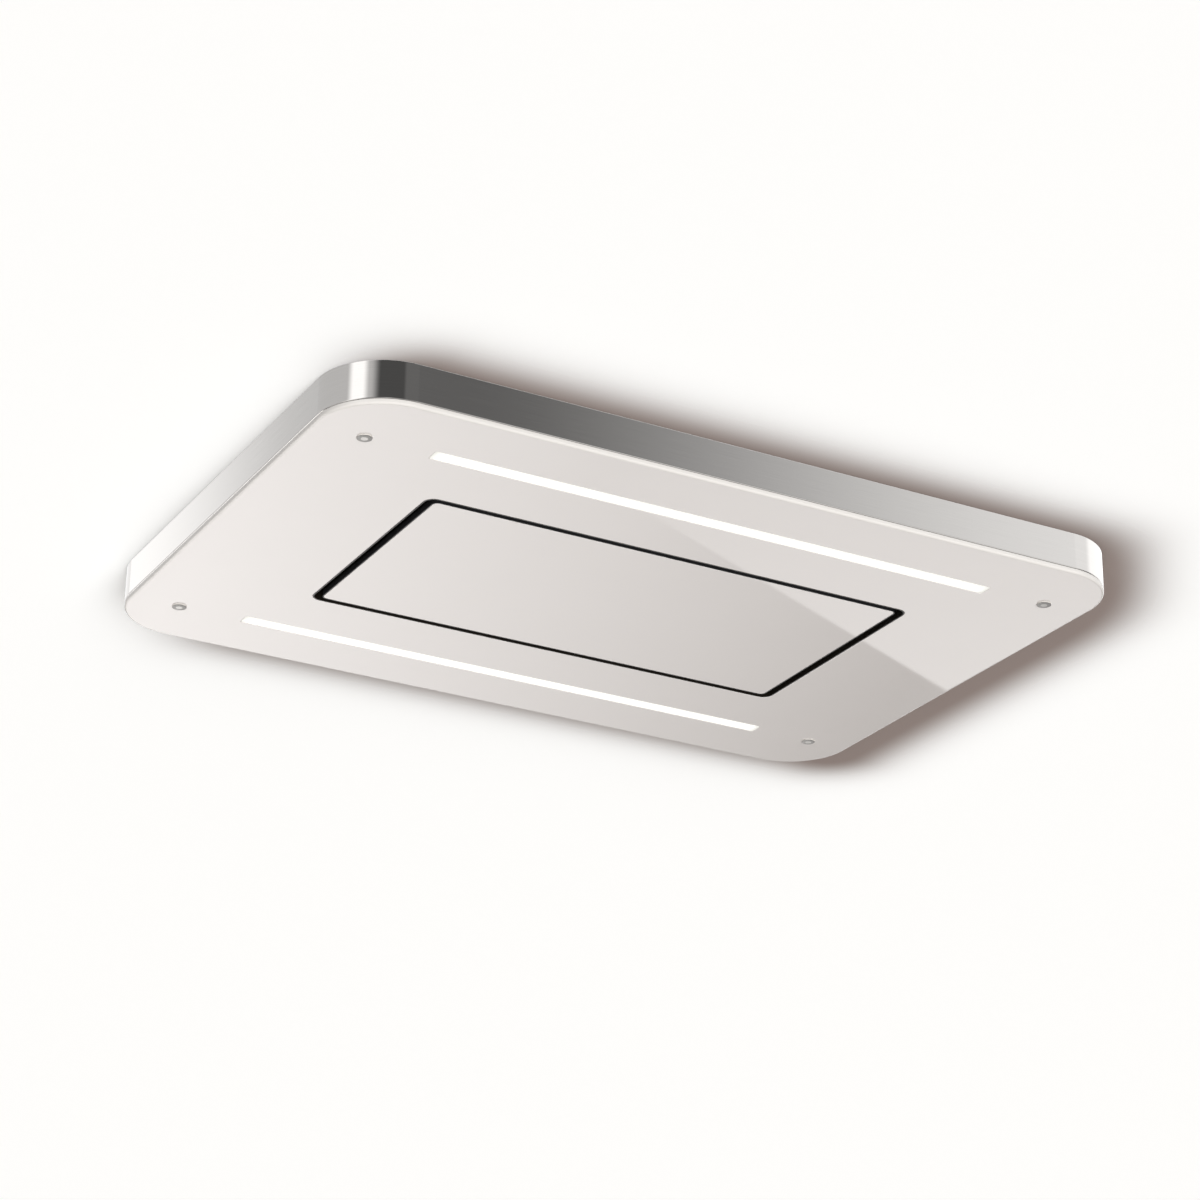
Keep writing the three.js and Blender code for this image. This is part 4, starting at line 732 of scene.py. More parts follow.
class HOOD_OT_glass_slab(bpy.types.Operator):
    """Build the white glass plate of the slab, with its opening, light slots and stud holes."""

    bl_idname = "hood.glass_slab"
    bl_label = "Glass slab"

    def execute(self, context):
        sizes = context.scene.hood_sizes
        stud_hole = 3.3 * MM
        low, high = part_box("outer_glass")
        outlines = [
            rounded_outline(high.x, high.y, sizes.corner_radius, 32),
            rounded_outline(sizes.opening_length / 2, sizes.opening_depth / 2, sizes.opening_radius),
        ]
        for side, _ in SIDES:
            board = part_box(f"led_board_{side}")
            middle = (board[0].y + board[1].y) / 2
            outlines.append(
                rounded_outline(
                    board[1].x + sizes.strip_end, sizes.strip_width / 2, sizes.strip_radius, 4, (0, middle)
                )
            )
            for end, _ in ENDS:
                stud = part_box(f"stud_{side}_{end}")
                centre = ((stud[0].x + stud[1].x) / 2, (stud[0].y + stud[1].y) / 2)
                outlines.append(round_outline(stud_hole, 16, centre))
        patches = plate(outlines, low.z, high.z, sizes.arris, sizes.pencil_edge)
        piece = make_piece("glass_slab", patches, "outer_glass", shared(back_painted_glass))
        polish_edges(piece)
        return {"FINISHED"}


def polish_edges(piece):
    """Gives the polished edge material to the faces between the two flat faces of a glass plate."""
    piece.data.materials.append(shared(polished_glass_edge))
    for face in piece.data.polygons:
        if abs(face.normal.z) < 0.999:
            face.material_index = 1


class HOOD_OT_rim(bpy.types.Operator):
    """Build the stainless band round the slab, folded in at the ceiling and behind the glass: one section
    carried round the slab's outline."""

    bl_idname = "hood.rim"
    bl_label = "Rim band"

    def execute(self, context):
        sizes = context.scene.hood_sizes
        low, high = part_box("rim_band")
        sheet = sizes.sheet
        ceiling_fold = 12 * MM
        glass_fold = 15 * MM
        corners = [
            (-glass_fold, low.z),
            (0, low.z),
            (0, high.z),
            (-ceiling_fold, high.z),
            (-ceiling_fold, high.z - sheet),
            (-sheet, high.z - sheet),
            (-sheet, low.z + sheet),
            (-glass_fold, low.z + sheet),
        ]
        folds = np.full(len(corners), 0.5 * MM)
        folds[1] = sizes.fold
        profile = eased(corners, folds[:, None], 4, closed=True)
        outline = rounded_outline(high.x, high.y, sizes.corner_radius, 32)
        patches = [carried(outline, profile, closed=True)]
        make_piece("rim_band_folded", patches, "rim_band", shared(polished_steel))
        return {"FINISHED"}


class HOOD_OT_pan(bpy.types.Operator):
    """Finish the ceiling pan and the black sleeve through the opening."""

    bl_idname = "hood.pan"
    bl_label = "Pan and sleeve"

    def execute(self, context):
        dress("ceiling_pan", zinc_sheet)
        ease_edges("throat_sleeve", powder_coat, 0.5 * MM)
        return {"FINISHED"}


class HOOD_OT_light_strips(bpy.types.Operator):
    """Build the two light strips: opal cover, aluminium channel and board."""

    bl_idname = "hood.light_strips"
    bl_label = "Light strips"

    def execute(self, context):
        sizes = context.scene.hood_sizes
        for side, _ in SIDES:
            low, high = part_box(f"led_cover_{side}")
            middle = (low.y + high.y) / 2
            gap = 0.3 * MM
            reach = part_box(f"led_board_{side}")[1].x + sizes.strip_end - gap
            neck = rounded_outline(reach, sizes.strip_width / 2 - gap, sizes.strip_radius, 4, (0, middle))
            flange = rounded_outline(high.x, (high.y - low.y) / 2, sizes.strip_radius, 4, (0, middle))
            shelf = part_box("rim_band")[0].z
            profile = eased([(-1.2 * MM, low.z), (0, low.z), (0, shelf)], 0.8 * MM, 3)
            step = flange[0] - neck[0]
            patches = [
                carried(neck, profile),
                cap([neck[0] + neck[1] * profile[0, 0]], low.z, False),
                shelf_between(neck[0], neck[0] + step, shelf),
                carried(flange, np.array([(0, shelf), (0, high.z)])),
                cap([flange[0]], high.z, True),
            ]
            node = f"led_cover_{side}"
            make_piece(f"opal_cover_{side}", patches, node, shared(opal_acrylic))
            ease_edges(f"led_channel_{side}", anodised_aluminium, 0.4 * MM)
            dress(f"led_board_{side}", led_board)
        return {"FINISHED"}


def shelf_between(inner, outer, height):
    """The flat ring that faces down between two outlines: each point of one is joined to its like on the
    other."""
    rings = np.stack([np.concatenate([ring, ring[:1]]) for ring in (inner, outer)], 1)
    points = np.concatenate([rings, np.full((*rings.shape[:2], 1), height)], -1)
    return points.reshape(-1, 3), grid_faces(len(rings), 2), rings.reshape(-1, 2)


class HOOD_OT_studs(bpy.types.Operator):
    """Build the four glass studs: a cap with a bright flat face in a dull sloping ring, its thread, and
    the nylon washer that keeps the cap off the glass."""

    bl_idname = "hood.studs"
    bl_label = "Glass studs"

    def execute(self, context):
        thread = 3 * MM
        flat = 3.8 * MM
        for corner in CORNERS:
            node = f"stud_{corner}"
            low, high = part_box(node)
            centre = ((low.x + high.x) / 2, (low.y + high.y) / 2)
            radius = (high.x - low.x) / 2
            cap_top = low.z + 0.9 * MM
            corners = [
                (0, low.z),
                (flat, low.z),
                (radius, low.z + 0.4 * MM),
                (radius, cap_top),
                (thread, cap_top),
                (thread, high.z),
                (0, high.z),
            ]
            patches = [turned(eased(corners, 0.35 * MM, 3), 48, centre)]
            stud = make_piece(f"glass_{node}", patches, node, shared(turned_steel))
            stud.data.materials.append(shared(blasted_steel))
            for face in stud.data.polygons:
                away = math.hypot(face.center.x - centre[0], face.center.y - centre[1])
                if flat < away and face.center.z < cap_top:
                    face.material_index = 1
            glass_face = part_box("outer_glass")[0].z - 0.3 * MM
            bore = thread + 0.2 * MM
            ring = [(bore, cap_top), (radius, cap_top), (radius, glass_face), (bore, glass_face)]
            section = eased(ring, 0.2 * MM, 2, closed=True)
            washer = carried(round_outline(0, 48, centre), section, closed=True)
            name = f"stud_washer_{corner}"
            make_piece(name, [washer], node, shared(natural_nylon), replaced=())
        return {"FINISHED"}


# ------------------------------------------------------------------ central panel


class HOOD_OT_panel(bpy.types.Operator):
    """Build the panel: glass, black trim, steel tray, hinges and magnetic catches."""

    bl_idname = "hood.panel"
    bl_label = "Central panel"

    def execute(self, context):
        sizes = context.scene.hood_sizes
        low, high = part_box("panel_glass")
        outline = rounded_outline(high.x, high.y, sizes.panel_radius, 8)
        patches = plate([outline], low.z, high.z, sizes.arris)
        glass = make_piece("panel_pane", patches, "panel_glass", shared(back_painted_glass))
        polish_edges(glass)
        trim_low, trim_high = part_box("panel_trim")
        reach = trim_high.x - high.x
        gap = 0.3 * MM
        lip = 5 * MM
        behind_glass = trim_high.z - 1.2 * MM
        corners = [
            (gap, trim_low.z),
            (reach, trim_low.z),
            (reach, trim_high.z),
            (-lip, trim_high.z),
            (-lip, behind_glass),
            (gap, behind_glass),
        ]
        profile = eased(corners, 0.4 * MM, 3, closed=True)
        trim = [carried(outline, profile, closed=True)]
        make_piece("panel_edge_trim", trim, "panel_trim", shared(black_nylon))
        ease_edges("panel_tray", powder_coat, 0.5 * MM)
        for end, _ in ENDS:
            ease_edges(f"hinge_bracket_{end}", zinc_sheet, 0.4 * MM)
            ease_edges(f"hinge_hanger_{end}", zinc_sheet, 0.4 * MM)
            ease_edges(f"hinge_pin_{end}", bright_pin, 0.3 * MM)
            ease_edges(f"catch_magnet_{end}", ferrite, 0.6 * MM)
            ease_edges(f"catch_keeper_{end}", zinc_sheet, 0.2 * MM)
            self.rivet_on_tray(end)
        tray_low, tray_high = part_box("panel_tray")
        floor = tray_low.z + sizes.sheet
        bead_end = 105 * MM
        bead_pitch = 72 * MM
        beads = []
        for y in (-bead_pitch, 0, bead_pitch):
            beads += pressed_bead(tray_high.x - bead_end, 9 * MM, 1.8 * MM, (0, y), floor)
        make_piece("tray_beads", beads, "panel_tray", shared(powder_coat), replaced=())
        return {"FINISHED"}

    def rivet_on_tray(self, end):
        """Rivets through the foot of a hinge bracket and through a catch's keeper."""
        low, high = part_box(f"hinge_bracket_{end}")
        foot = low.z + 1.5 * MM
        middle = (low + high) / 2
        places = [(middle.x + side * 16 * MM, middle.y, foot) for _, side in SIDES]
        rivets = set_out(blind_rivet(2.6 * MM), places)
        low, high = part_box(f"catch_keeper_{end}")
        middle = (low + high) / 2
        places = [(middle.x + side * 12 * MM, middle.y, high.z) for _, side in SIDES]
        rivets += set_out(blind_rivet(1.6 * MM), places)
        fasten(f"tray_rivets_{end}", rivets, f"hinge_bracket_{end}")


# ------------------------------------------------------------------ filters, electrics, body, fan, outlet


class HOOD_OT_filters(bpy.types.Operator):
    """Finish the two grease filters: folded frame, mesh and sprung bolt."""

    bl_idname = "hood.filters"
    bl_label = "Grease filters"

    def execute(self, context):
        for end, _ in ENDS:
            ease_edges(f"filter_frame_{end}", mill_aluminium, 0.3 * MM)
            dress(f"filter_pad_{end}", filter_mesh)
            ease_edges(f"filter_bolt_{end}", grey_abs, 0.6 * MM)
        return {"FINISHED"}


class HOOD_OT_electrics(bpy.types.Operator):
    """Finish the control box and the light driver in the slab, and the cable box with its gland."""

    bl_idname = "hood.electrics"
    bl_label = "Electrics"

    def execute(self, context):
        for node in ("control_box", "led_driver", "cable_box", "cable_box_lid"):
            ease_edges(node, grey_abs, 1.0 * MM)
        sheet = context.scene.hood_sizes.sheet
        for node in ("control_box", "led_driver"):
            low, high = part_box(node)
            middle = (low.x + high.x) / 2
            places = [(middle, y, high.z - sheet) for y in (low.y + 6 * MM, high.y - 6 * MM)]
            fasten(f"{node}_screws", set_out(cross_screw(4 * MM), places, "-Z"), node)
        low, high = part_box("cable_box_lid")
        inset = 7 * MM
        corners = [
            (low.x, y, z)
            for y in (low.y + inset, high.y - inset)
            for z in (low.z + inset, high.z - inset)
        ]
        fasten("cable_lid_screws", set_out(cross_screw(3.6 * MM), corners, "-X"), "cable_box_lid")
        make_gland()
        return {"FINISHED"}


def make_gland():
    """The cable gland, from its box towards -Y: a hexagonal body and a fluted nut with the radius r (1 + 0.02
    cos 16a) at the angle a."""
    low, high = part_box("cable_gland")
    reach = high.y - low.y
    radius = (high.x - low.x) / 2
    bore = 4.5 * MM
    body = [
        (radius * 0.5, 0),
        (radius, 0),
        (radius, reach * 0.36),
        (radius * 0.93, reach * 0.4),
        (radius * 0.5, reach * 0.4),
    ]
    nut = [
        (bore, 0.3 * reach),
        (0.86 * radius, 0.3 * reach),
        (0.86 * radius, 0.76 * reach),
        (0.62 * radius, 0.98 * reach),
        (bore, reach),
    ]
    parts = [carried(round_outline(0, 6), np.array(body), closed=True)]
    points, faces, uv = carried(round_outline(0, 64), eased(nut, 0.9 * MM, 3, closed=True), closed=True)
    away = np.linalg.norm(points[:, :2], axis=1)
    turn = np.arctan2(points[:, 1], points[:, 0])
    flutes = np.where(away > 0.8 * radius, 0.02 * np.cos(16 * turn), 0)
    parts.append((points * np.column_stack([1 + flutes, 1 + flutes, np.ones(len(points))]), faces, uv))
    middle = (low + high) / 2
    patches = set_out(parts, [(middle.x, high.y, middle.z)], "-Y")
    make_piece("fluted_cable_gland", patches, "cable_gland", shared(black_nylon))


class HOOD_OT_body(bpy.types.Operator):
    """Finish the galvanised body with its lid and suspension brackets."""

    bl_idname = "hood.body"
    bl_label = "Recessed body"

    def execute(self, context):
        sizes = context.scene.hood_sizes
        ease_edges("housing_box", zinc_sheet, 0.9 * MM)
        ease_edges("housing_lid", zinc_sheet, 0.9 * MM)
        for corner in CORNERS:
            ease_edges(f"bracket_{corner}", zinc_sheet, 0.8 * MM)
        low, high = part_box("housing_lid")
        level = low.z + 4.5 * MM
        lid_screw = cross_screw(3.8 * MM)
        for side, way in SIDES:
            axis = "Y" if way > 0 else "-Y"
            places = [(x * MM, way * high.y, level) for x in (-285, -95, 95, 285)]
            screws = set_out(lid_screw, places, axis)
            for end, _ in ENDS:
                bracket_low, bracket_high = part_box(f"bracket_{side}_{end}")
                middle = (bracket_low.x + bracket_high.x) / 2
                outer = way * (min(abs(bracket_low.y), abs(bracket_high.y)) + 3 * MM)
                places = [(middle + x * MM, outer, bracket_low.z + 14 * MM) for x in (-10, 10)]
                screws += set_out(hexagon_screw(5 * MM), places, axis)
            fasten(f"body_screws_{side}", screws, "housing_lid")
        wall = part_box("housing_lid")[1].x - sizes.sheet - 0.3 * MM
        for end, way in ENDS:
            axis = "X" if way > 0 else "-X"
            screws = set_out(lid_screw, [(way * high.x, y * MM, level) for y in (-120, 120)], axis)
            corners = [(way * wall, y * MM, z * MM) for y in (-165, 165) for z in (28, 92, 156)]
            screws += set_out(blind_rivet(3 * MM), corners, axis)
            fasten(f"body_rivets_{end}", screws, "housing_box")
        return {"FINISHED"}


class HOOD_OT_fan(bpy.types.Operator):
    """Build the fan: spiral casing, inlet ring, bladed wheel, motor, shaft and rubber mounts."""

    bl_idname = "hood.fan"
    bl_label = "Fan"

    def execute(self, context):
        sizes = context.scene.hood_sizes
        ease_edges("fan_casing", zinc_sheet, 0.3 * MM)
        ease_edges("casing_cover", zinc_sheet, 0.3 * MM)
        make_inlet_ring(sizes)
        make_fan_wheel(sizes)
        make_motor(sizes)
        for corner in CORNERS:
            make_mount(f"rubber_mount_{corner}")
        return {"FINISHED"}


def make_inlet_ring(sizes):
    """A flange under the casing and a flare that narrows to the throat. The flare's section is a
    quarter circle of radius lip: out = throat + lip - r cos a, z = bottom + lip - r sin a."""
    low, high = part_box("inlet_ring")
    sheet = sizes.sheet
    throat = sizes.inlet_throat
    lip = sizes.inlet_lip
    rim = (high.x - low.x) / 2
    centre = middle_of("inlet_ring").xy
    a = np.linspace(0, math.pi / 2, 13)[:, None]
    sides = []
    for radius in (lip, lip - sheet):
        out = throat + lip - radius * np.cos(a)
        sides.append(np.concatenate([out, low.z + lip - radius * np.sin(a)], 1))
    flare, back = sides
    profile = np.concatenate(
        [
            [(rim, low.z), (rim, low.z + sheet)],
            back[::-1],
            [(throat + sheet, high.z), (throat, high.z)],
            flare,
        ]
    )
    patch = carried(round_outline(0, 96, centre), profile, closed=True)
    make_piece("flared_inlet_ring", [patch], "inlet_ring", shared(zinc_sheet))
    turns = np.arange(6) * math.pi / 3 + 0.3
    reach = rim - 7 * MM
    places = [
        (centre[0] + reach * math.cos(turn), centre[1] + reach * math.sin(turn), low.z) for turn in turns
    ]
    fasten("inlet_rivets", set_out(blind_rivet(2.6 * MM), places, "-Z"), "inlet_ring")


def make_fan_wheel(sizes):
    """The wheel: a back plate with a cup for the motor and a hub, a shroud ring round the eye, and the
    blades between them. The plate and the ring are closed profiles turned about the fan's axis."""
    low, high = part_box("fan_wheel")
    centre = middle_of("fan_wheel").xy
    plate_sheet = 2 * MM
    edge = (high.x - low.x) / 2
    bore = 4.3 * MM
    hub = 11 * MM
    hub_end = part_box("motor_shaft")[0].z
    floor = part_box("fan_motor")[0].z - 4 * MM - plate_sheet
    cup = sizes.motor_radius + 4 * MM
    corners = [
        (bore, hub_end),
        (hub, hub_end),
        (hub, floor),
        (cup - 1 * MM + plate_sheet, floor),
        (cup + plate_sheet, high.z - plate_sheet),
        (edge, high.z - plate_sheet),
        (edge, high.z),
        (cup, high.z),
        (cup - 1 * MM, floor + plate_sheet),
        (bore, floor + plate_sheet),
    ]
    ease = np.array([0.4, 1, 2, 3, 3, 0.6, 0.6, 3, 3, 0.4])[:, None] * MM
    outline = round_outline(0, 96, centre)
    back = carried(outline, eased(corners, ease, 4, closed=True), closed=True)
    shroud_bore = sizes.wheel_eye - sizes.blade_sheet
    ring_top = low.z + plate_sheet
    ring = [(shroud_bore, low.z), (edge, low.z), (edge, ring_top), (shroud_bore, ring_top)]
    shroud = carried(outline, eased(ring, 0.7 * MM, 3, closed=True), closed=True)
    blades = fan_blades(sizes, centre, low.z + plate_sheet / 2, high.z - plate_sheet / 2)
    ribs = hub_ribs(centre, hub, cup - 3 * MM, floor, 5 * MM)
    patches = [back, shroud, blades, ribs]
    make_piece("bladed_fan_wheel", patches, "fan_wheel", shared(wheel_nylon))


def fan_blades(sizes, centre, low, high, steps=12):
    """Forward-curved blades. A blade follows an arc that leaves the eye's circle along the radius and
    turns forward by the sweep: (eye + rho cos t, arc + rho sin t) for t from -90 degrees, where rho is
    the arc's radius plus or minus half the sheet, which thins to half at both ends. The arc's radius
    is the one whose end lies on the rim's circle.
    """
    eye, rim, sweep = sizes.wheel_eye, sizes.wheel_rim, sizes.blade_sweep
    squared = math.sin(sweep) ** 2 + (1 - math.cos(sweep)) ** 2
    half = eye * math.sin(sweep)
    arc = (math.sqrt(half**2 - squared * (eye**2 - rim**2)) - half) / squared
    share = np.linspace(0, 1, steps + 1)
    t = share * sweep - math.pi / 2
    thickness = sizes.blade_sheet * (0.5 + 0.5 * np.sin(math.pi * share) ** 0.5)
    rho = arc + thickness[:, None] / 2 * np.array([-1, 1, 1, -1, -1])
    x = eye + rho * np.cos(t)[:, None]
    y = arc + rho * np.sin(t)[:, None]
    z = np.broadcast_to([low, low, high, high, low], x.shape)
    points = copied_round(x, y, z, sizes.blade_count, centre)
    one = grid_faces(steps + 1, 5) + [[3, 2, 1, 0], [5 * steps + corner for corner in range(4)]]
    starts = np.arange(sizes.blade_count) * 5 * (steps + 1)
    faces = [[index + start for index in face] for start in starts for face in one]
    uv = np.stack([np.broadcast_to(share[:, None] * arc * sweep, x.shape), z], -1)
    return points, faces, np.tile(uv.reshape(-1, 2), (sizes.blade_count, 1))


def copied_round(x, y, z, count, centre):
    """Points copied round the vertical through a centre, in equal steps of the angle a:
    (x cos a - y sin a, x sin a + y cos a, z)."""
    turn = (np.arange(count) * 2 * math.pi / count)[:, None, None]
    across = x * np.cos(turn) - y * np.sin(turn) + centre[0]
    along = x * np.sin(turn) + y * np.cos(turn) + centre[1]
    return np.stack([across, along, np.broadcast_to(z, across.shape)], -1).reshape(-1, 3)


def hub_ribs(centre, inner, outer, level, height, count=8):
    """Radial ribs that stiffen the hub: thin upright plates whose height falls from the hub to the
    cup's wall as height (1 - s)^1.5 at the share s of the way."""
    share = np.linspace(0, 1, 9)
    sunk = 0.5 * MM
    top = level + sunk
    out = inner - sunk + (outer - inner) * share
    drop = top - (0.6 * MM + height * (1 - share) ** 1.5)
    half = 0.9 * MM
    x = np.broadcast_to(out[:, None], (9, 5))
    y = np.broadcast_to([-half, half, half, -half, -half], (9, 5))
    z = np.stack([drop, drop, np.full(9, top), np.full(9, top), drop], 1)
    points = copied_round(x, y, z, count, centre)
    one = grid_faces(9, 5) + [[3, 2, 1, 0], [40, 41, 42, 43]]
    faces = [[index + start for index in face] for start in np.arange(count) * x.size for face in one]
    return points, faces, points[:, :2]


def make_motor(sizes):
    """The motor: a can with rolled grooves and a flange under the casing cover, its shaft, and the four
    screws through the cover. The can and the shaft are profiles turned about the fan's axis."""
    low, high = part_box("fan_motor")
    centre = middle_of("fan_motor").xy
    radius = sizes.motor_radius
    flange = (high.x - low.x) / 2
    bearing = 4.3 * MM
    shaft_low, shaft_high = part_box("motor_shaft")
    grooves = []
    for level in np.arange(low.z + 22 * MM, high.z - 14 * MM, 9 * MM):
        grooves += [(radius, level), (radius - 1.2 * MM, level + 1 * MM)]
        grooves += [(radius - 1.2 * MM, level + 3 * MM), (radius, level + 4 * MM)]
    corners = [
        (0, shaft_high.z + 0.3 * MM),
        (bearing, shaft_high.z + 0.3 * MM),
        (bearing, low.z),
        (radius - 6 * MM, low.z),
        (radius, low.z + 6 * MM),
        *grooves,
        (radius, high.z - 3 * MM),
        (flange, high.z - 3 * MM),
        (flange, high.z),
        (0, high.z),
    ]
    can = turned(eased(corners, 0.6 * MM, 3), 72, centre)
    make_piece("grooved_fan_motor", [can], "fan_motor", shared(powder_coat))
    shaft = (shaft_high.x - shaft_low.x) / 2
    rod = [(0, shaft_low.z), (shaft, shaft_low.z), (shaft, shaft_high.z), (0, shaft_high.z)]
    patch = turned(eased(rod, 0.5 * MM, 2), 32, centre)
    make_piece("ground_motor_shaft", [patch], "motor_shaft", shared(bright_pin))
    turns = np.arange(4) * math.pi / 2 + math.pi / 4
    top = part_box("casing_cover")[1].z
    reach = (radius + flange) / 2
    places = [
        (centre[0] + reach * math.cos(turn), centre[1] + reach * math.sin(turn), top) for turn in turns
    ]
    fasten("motor_screws", set_out(hexagon_screw(5 * MM), places), "casing_cover")


def make_mount(node):
    """A rubber mount with a waist: its radius is waist + (end - waist) |s|^2.5, s going from -1 to 1
    over its height."""
    low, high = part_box(node)
    end = (high.x - low.x) / 2
    waist = 5.5 * MM
    s = np.linspace(-1, 1, 17)
    out = waist + (end - waist) * np.abs(s) ** 2.5
    middle = (low.z + high.z) / 2
    height = middle + s * (high.z - low.z) / 2
    ends = [(0, low.z)], np.column_stack([out, height]), [(0, high.z)]
    patch = turned(np.concatenate(ends), 32, middle_of(node).xy)
    make_piece(f"waisted_{node}", [patch], node, shared(rubber))


class HOOD_OT_outlet(bpy.types.Operator):
    """Build the round outlet with its two flaps on one pin. The collar is a closed profile turned about
    the duct's axis, and the pin one turned about its own."""

    bl_idname = "hood.outlet"
    bl_label = "Duct outlet"

    def execute(self, context):
        sizes = context.scene.hood_sizes
        low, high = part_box("duct_collar")
        middle = middle_of("duct_collar")
        wall = 1.2 * MM
        outer = sizes.duct_radius
        bore = outer - wall
        reach = high.x - low.x
        flange = (high.z - low.z) / 2
        stop_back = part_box("flap_far")[0].x - low.x + 1.1 * MM
        stop = 2.5 * MM
        bead = reach - 12 * MM
        corners = [
            (bore, 0),
            (flange, 0),
            (flange, wall),
            (outer, wall),
            (outer, bead - 3 * MM),
            (outer + 1.6 * MM, bead),
            (outer, bead + 3 * MM),
            (outer, reach),
            (bore, reach),
            (bore, stop_back),
            (bore - stop, stop_back),
            (bore - stop, stop_back - stop),
            (bore, stop_back - 2 * stop),
        ]
        patch = carried(round_outline(0, 96), eased(corners, 0.4 * MM, 3, closed=True), closed=True)
        collar = set_out([patch], [(low.x, middle.y, middle.z)], "X")
        make_piece("beaded_duct_collar", collar, "duct_collar", shared(zinc_sheet))
        turns = np.arange(8) * math.pi / 4 + math.pi / 8
        ring = (outer + flange) / 2
        places = [
            (low.x + wall, middle.y + ring * math.cos(turn), middle.z + ring * math.sin(turn))
            for turn in turns
        ]
        fasten("collar_rivets", set_out(blind_rivet(2.8 * MM), places, "X"), "duct_collar")
        pin_low, pin_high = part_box("flap_pin")
        radius = (pin_high.x - pin_low.x) / 2
        rod = [(0, pin_low.z), (radius, pin_low.z), (radius, pin_high.z), (0, pin_high.z)]
        pin = turned(eased(rod, 0.4 * MM, 2), 24, middle_of("flap_pin").xy)
        make_piece("ground_flap_pin", [pin], "flap_pin", shared(bright_pin))
        ease_edges("flap_far", anodised_aluminium, 0.2 * MM, 1)
        ease_edges("flap_near", anodised_aluminium, 0.2 * MM, 1)
        return {"FINISHED"}


# ------------------------------------------------------------------ stage


# Walls and lit openings of the studio that the steel rim mirrors: azimuth of the middle from +Y
# towards +X, half width and softness in degrees, and brightness
STUDIO_WALLS = (
    ("pale wall", 61, 80, 4.1, 1.6),
    ("shaded part of the pale wall", 2, 20, 1.5, 1.2),
    ("grey column", 131, 12, 14, 1.2),
    ("curtain", 186, 29, 17, 0.1),
    ("lit fold of the curtain", 166, 9, 6, 0.19),
    ("lit window", -109.5, 7, 12, 1.65),
)
GREY_WALL = 0.73

# Things on the studio's floor, which the rim mirrors when it is seen from above, given by the same
# numbers
FLOOR_BANDS = (
    ("dark doorway", 180, 8, 22, 0.25),
    ("lit door frame", 148, 4, 6, 1.25),
    ("dark cupboard", 118, 8, 12, 0.25),
    ("lit floor", 78, 6, 12, 1.1),
    ("dark shelf", 48, 5, 9, 0.3),
    ("lit wall foot", -18, 8, 14, 1.1),
    ("foot of a dark curtain", -48, 7, 12, 0.25),
    ("light from the window", -100, 8, 12, 1.2),
    ("dark chest", -138, 8, 14, 0.25),
)
PLAIN_FLOOR = 0.7

# Lamps: the way their light travels, how wide they look in degrees, and their strength. The first two
# light the slab from below, and the last one the body over the ceiling. The ambient light is given for
# each side of the ceiling.
LAMPS = (
    ("key_lamp", (0.26, 0.8, 0.54), 55, 3.3),
    ("front_fill", (0.1, 0.98, 0.1), 45, 0.3),
    ("lamp_over_ceiling", (0.3, 0.5, -0.81), 70, 1.3),
)
AMBIENT_BELOW = (0.14, 0.119, 0.106)
AMBIENT_ABOVE = (0.62, 0.62, 0.62)

# The painted soft shade on the ceiling round the slab, laid over its real shadow: where it is deepest along X
# and Y, the radius of its corners, how far its edge fades, the straight fades across its near right and far
# left corners, how far these are blended, its depth, and the faint painted close shade along the steel band
SHADE_X = (-433 * MM, 597 * MM)
SHADE_Y = (-347 * MM, 432 * MM)
SHADE_CORNER = 42 * MM
SHADE_FADE = 58 * MM
SHADE_CUTS = (((0.787, -0.617, 0), 587 * MM), ((-0.878, 0.479, 0), 488 * MM))
SHADE_BLEND = 91 * MM
SHADE_DEPTH = (0.738, 0.786, 0.803)
CLOSE_SHADE = 0.3
CLOSE_FADE = 3 * MM


class HOOD_OT_stage(bpy.types.Operator):
    """Set up the camera, the ceiling plane, the lamps and the studio that gloss surfaces mirror."""

    bl_idname = "hood.stage"
    bl_label = "Stage"

    def execute(self, context):
        make_camera(context.scene)
        make_ceiling()
        for lamp in LAMPS:
            make_lamp(*lamp)
        make_world(context.scene)
        context.scene.view_settings.view_transform = "Standard"
        return {"FINISHED"}


def make_camera(scene):
    """The photograph's viewpoint: it looks up at the slab from the near left."""
    camera = bpy.data.cameras.new("camera")
    camera.lens = 96.908
    camera.sensor_width = 36
    camera.clip_end = 50
    view = bpy.data.objects.new("camera", camera)
    forward = Vector((0.43775122, 0.80561085, 0.39920550))
    right = Vector((0.87638173, -0.48149871, 0.01067975))
    up = right.cross(forward)
    place = Matrix((right, up, -forward)).transposed().to_4x4()
    place.translation = Vector((-1.682325, -3.071893, -1.569531))
    view.matrix_world = place
    scene.collection.objects.link(view)
    scene.camera = view


def make_ceiling():
    """The plain pale plane under which the hood hangs, with the cut-out for the body. Seen from above it
    is clear, so that the body shows, and gloss surfaces mirror the studio instead of it."""
    reach = 12.0
    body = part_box("housing_lid")[1]
    margin = 1 * MM
    hole = np.array([body.x + margin, body.y + margin])
    corners = np.array([[1, 1], [-1, 1], [-1, -1], [1, -1]])
    rings = np.stack([corners * hole, corners * reach], 1)
    rings = np.concatenate([rings, rings[:1]])
    points = np.concatenate([rings, np.full((*rings.shape[:2], 1), 0.2 * MM)], -1)
    mesh = bpy.data.meshes.new("ceiling_plane")
    mesh.from_pydata(points.reshape(-1, 3).tolist(), [], grid_faces(len(rings), 2))
    ceiling = bpy.data.objects.new("ceiling_plane", mesh)
    mesh.materials.append(ceiling_paint(bpy.context.scene.hood_colours))
    ceiling.visible_glossy = False
    bpy.context.scene.collection.objects.link(ceiling)


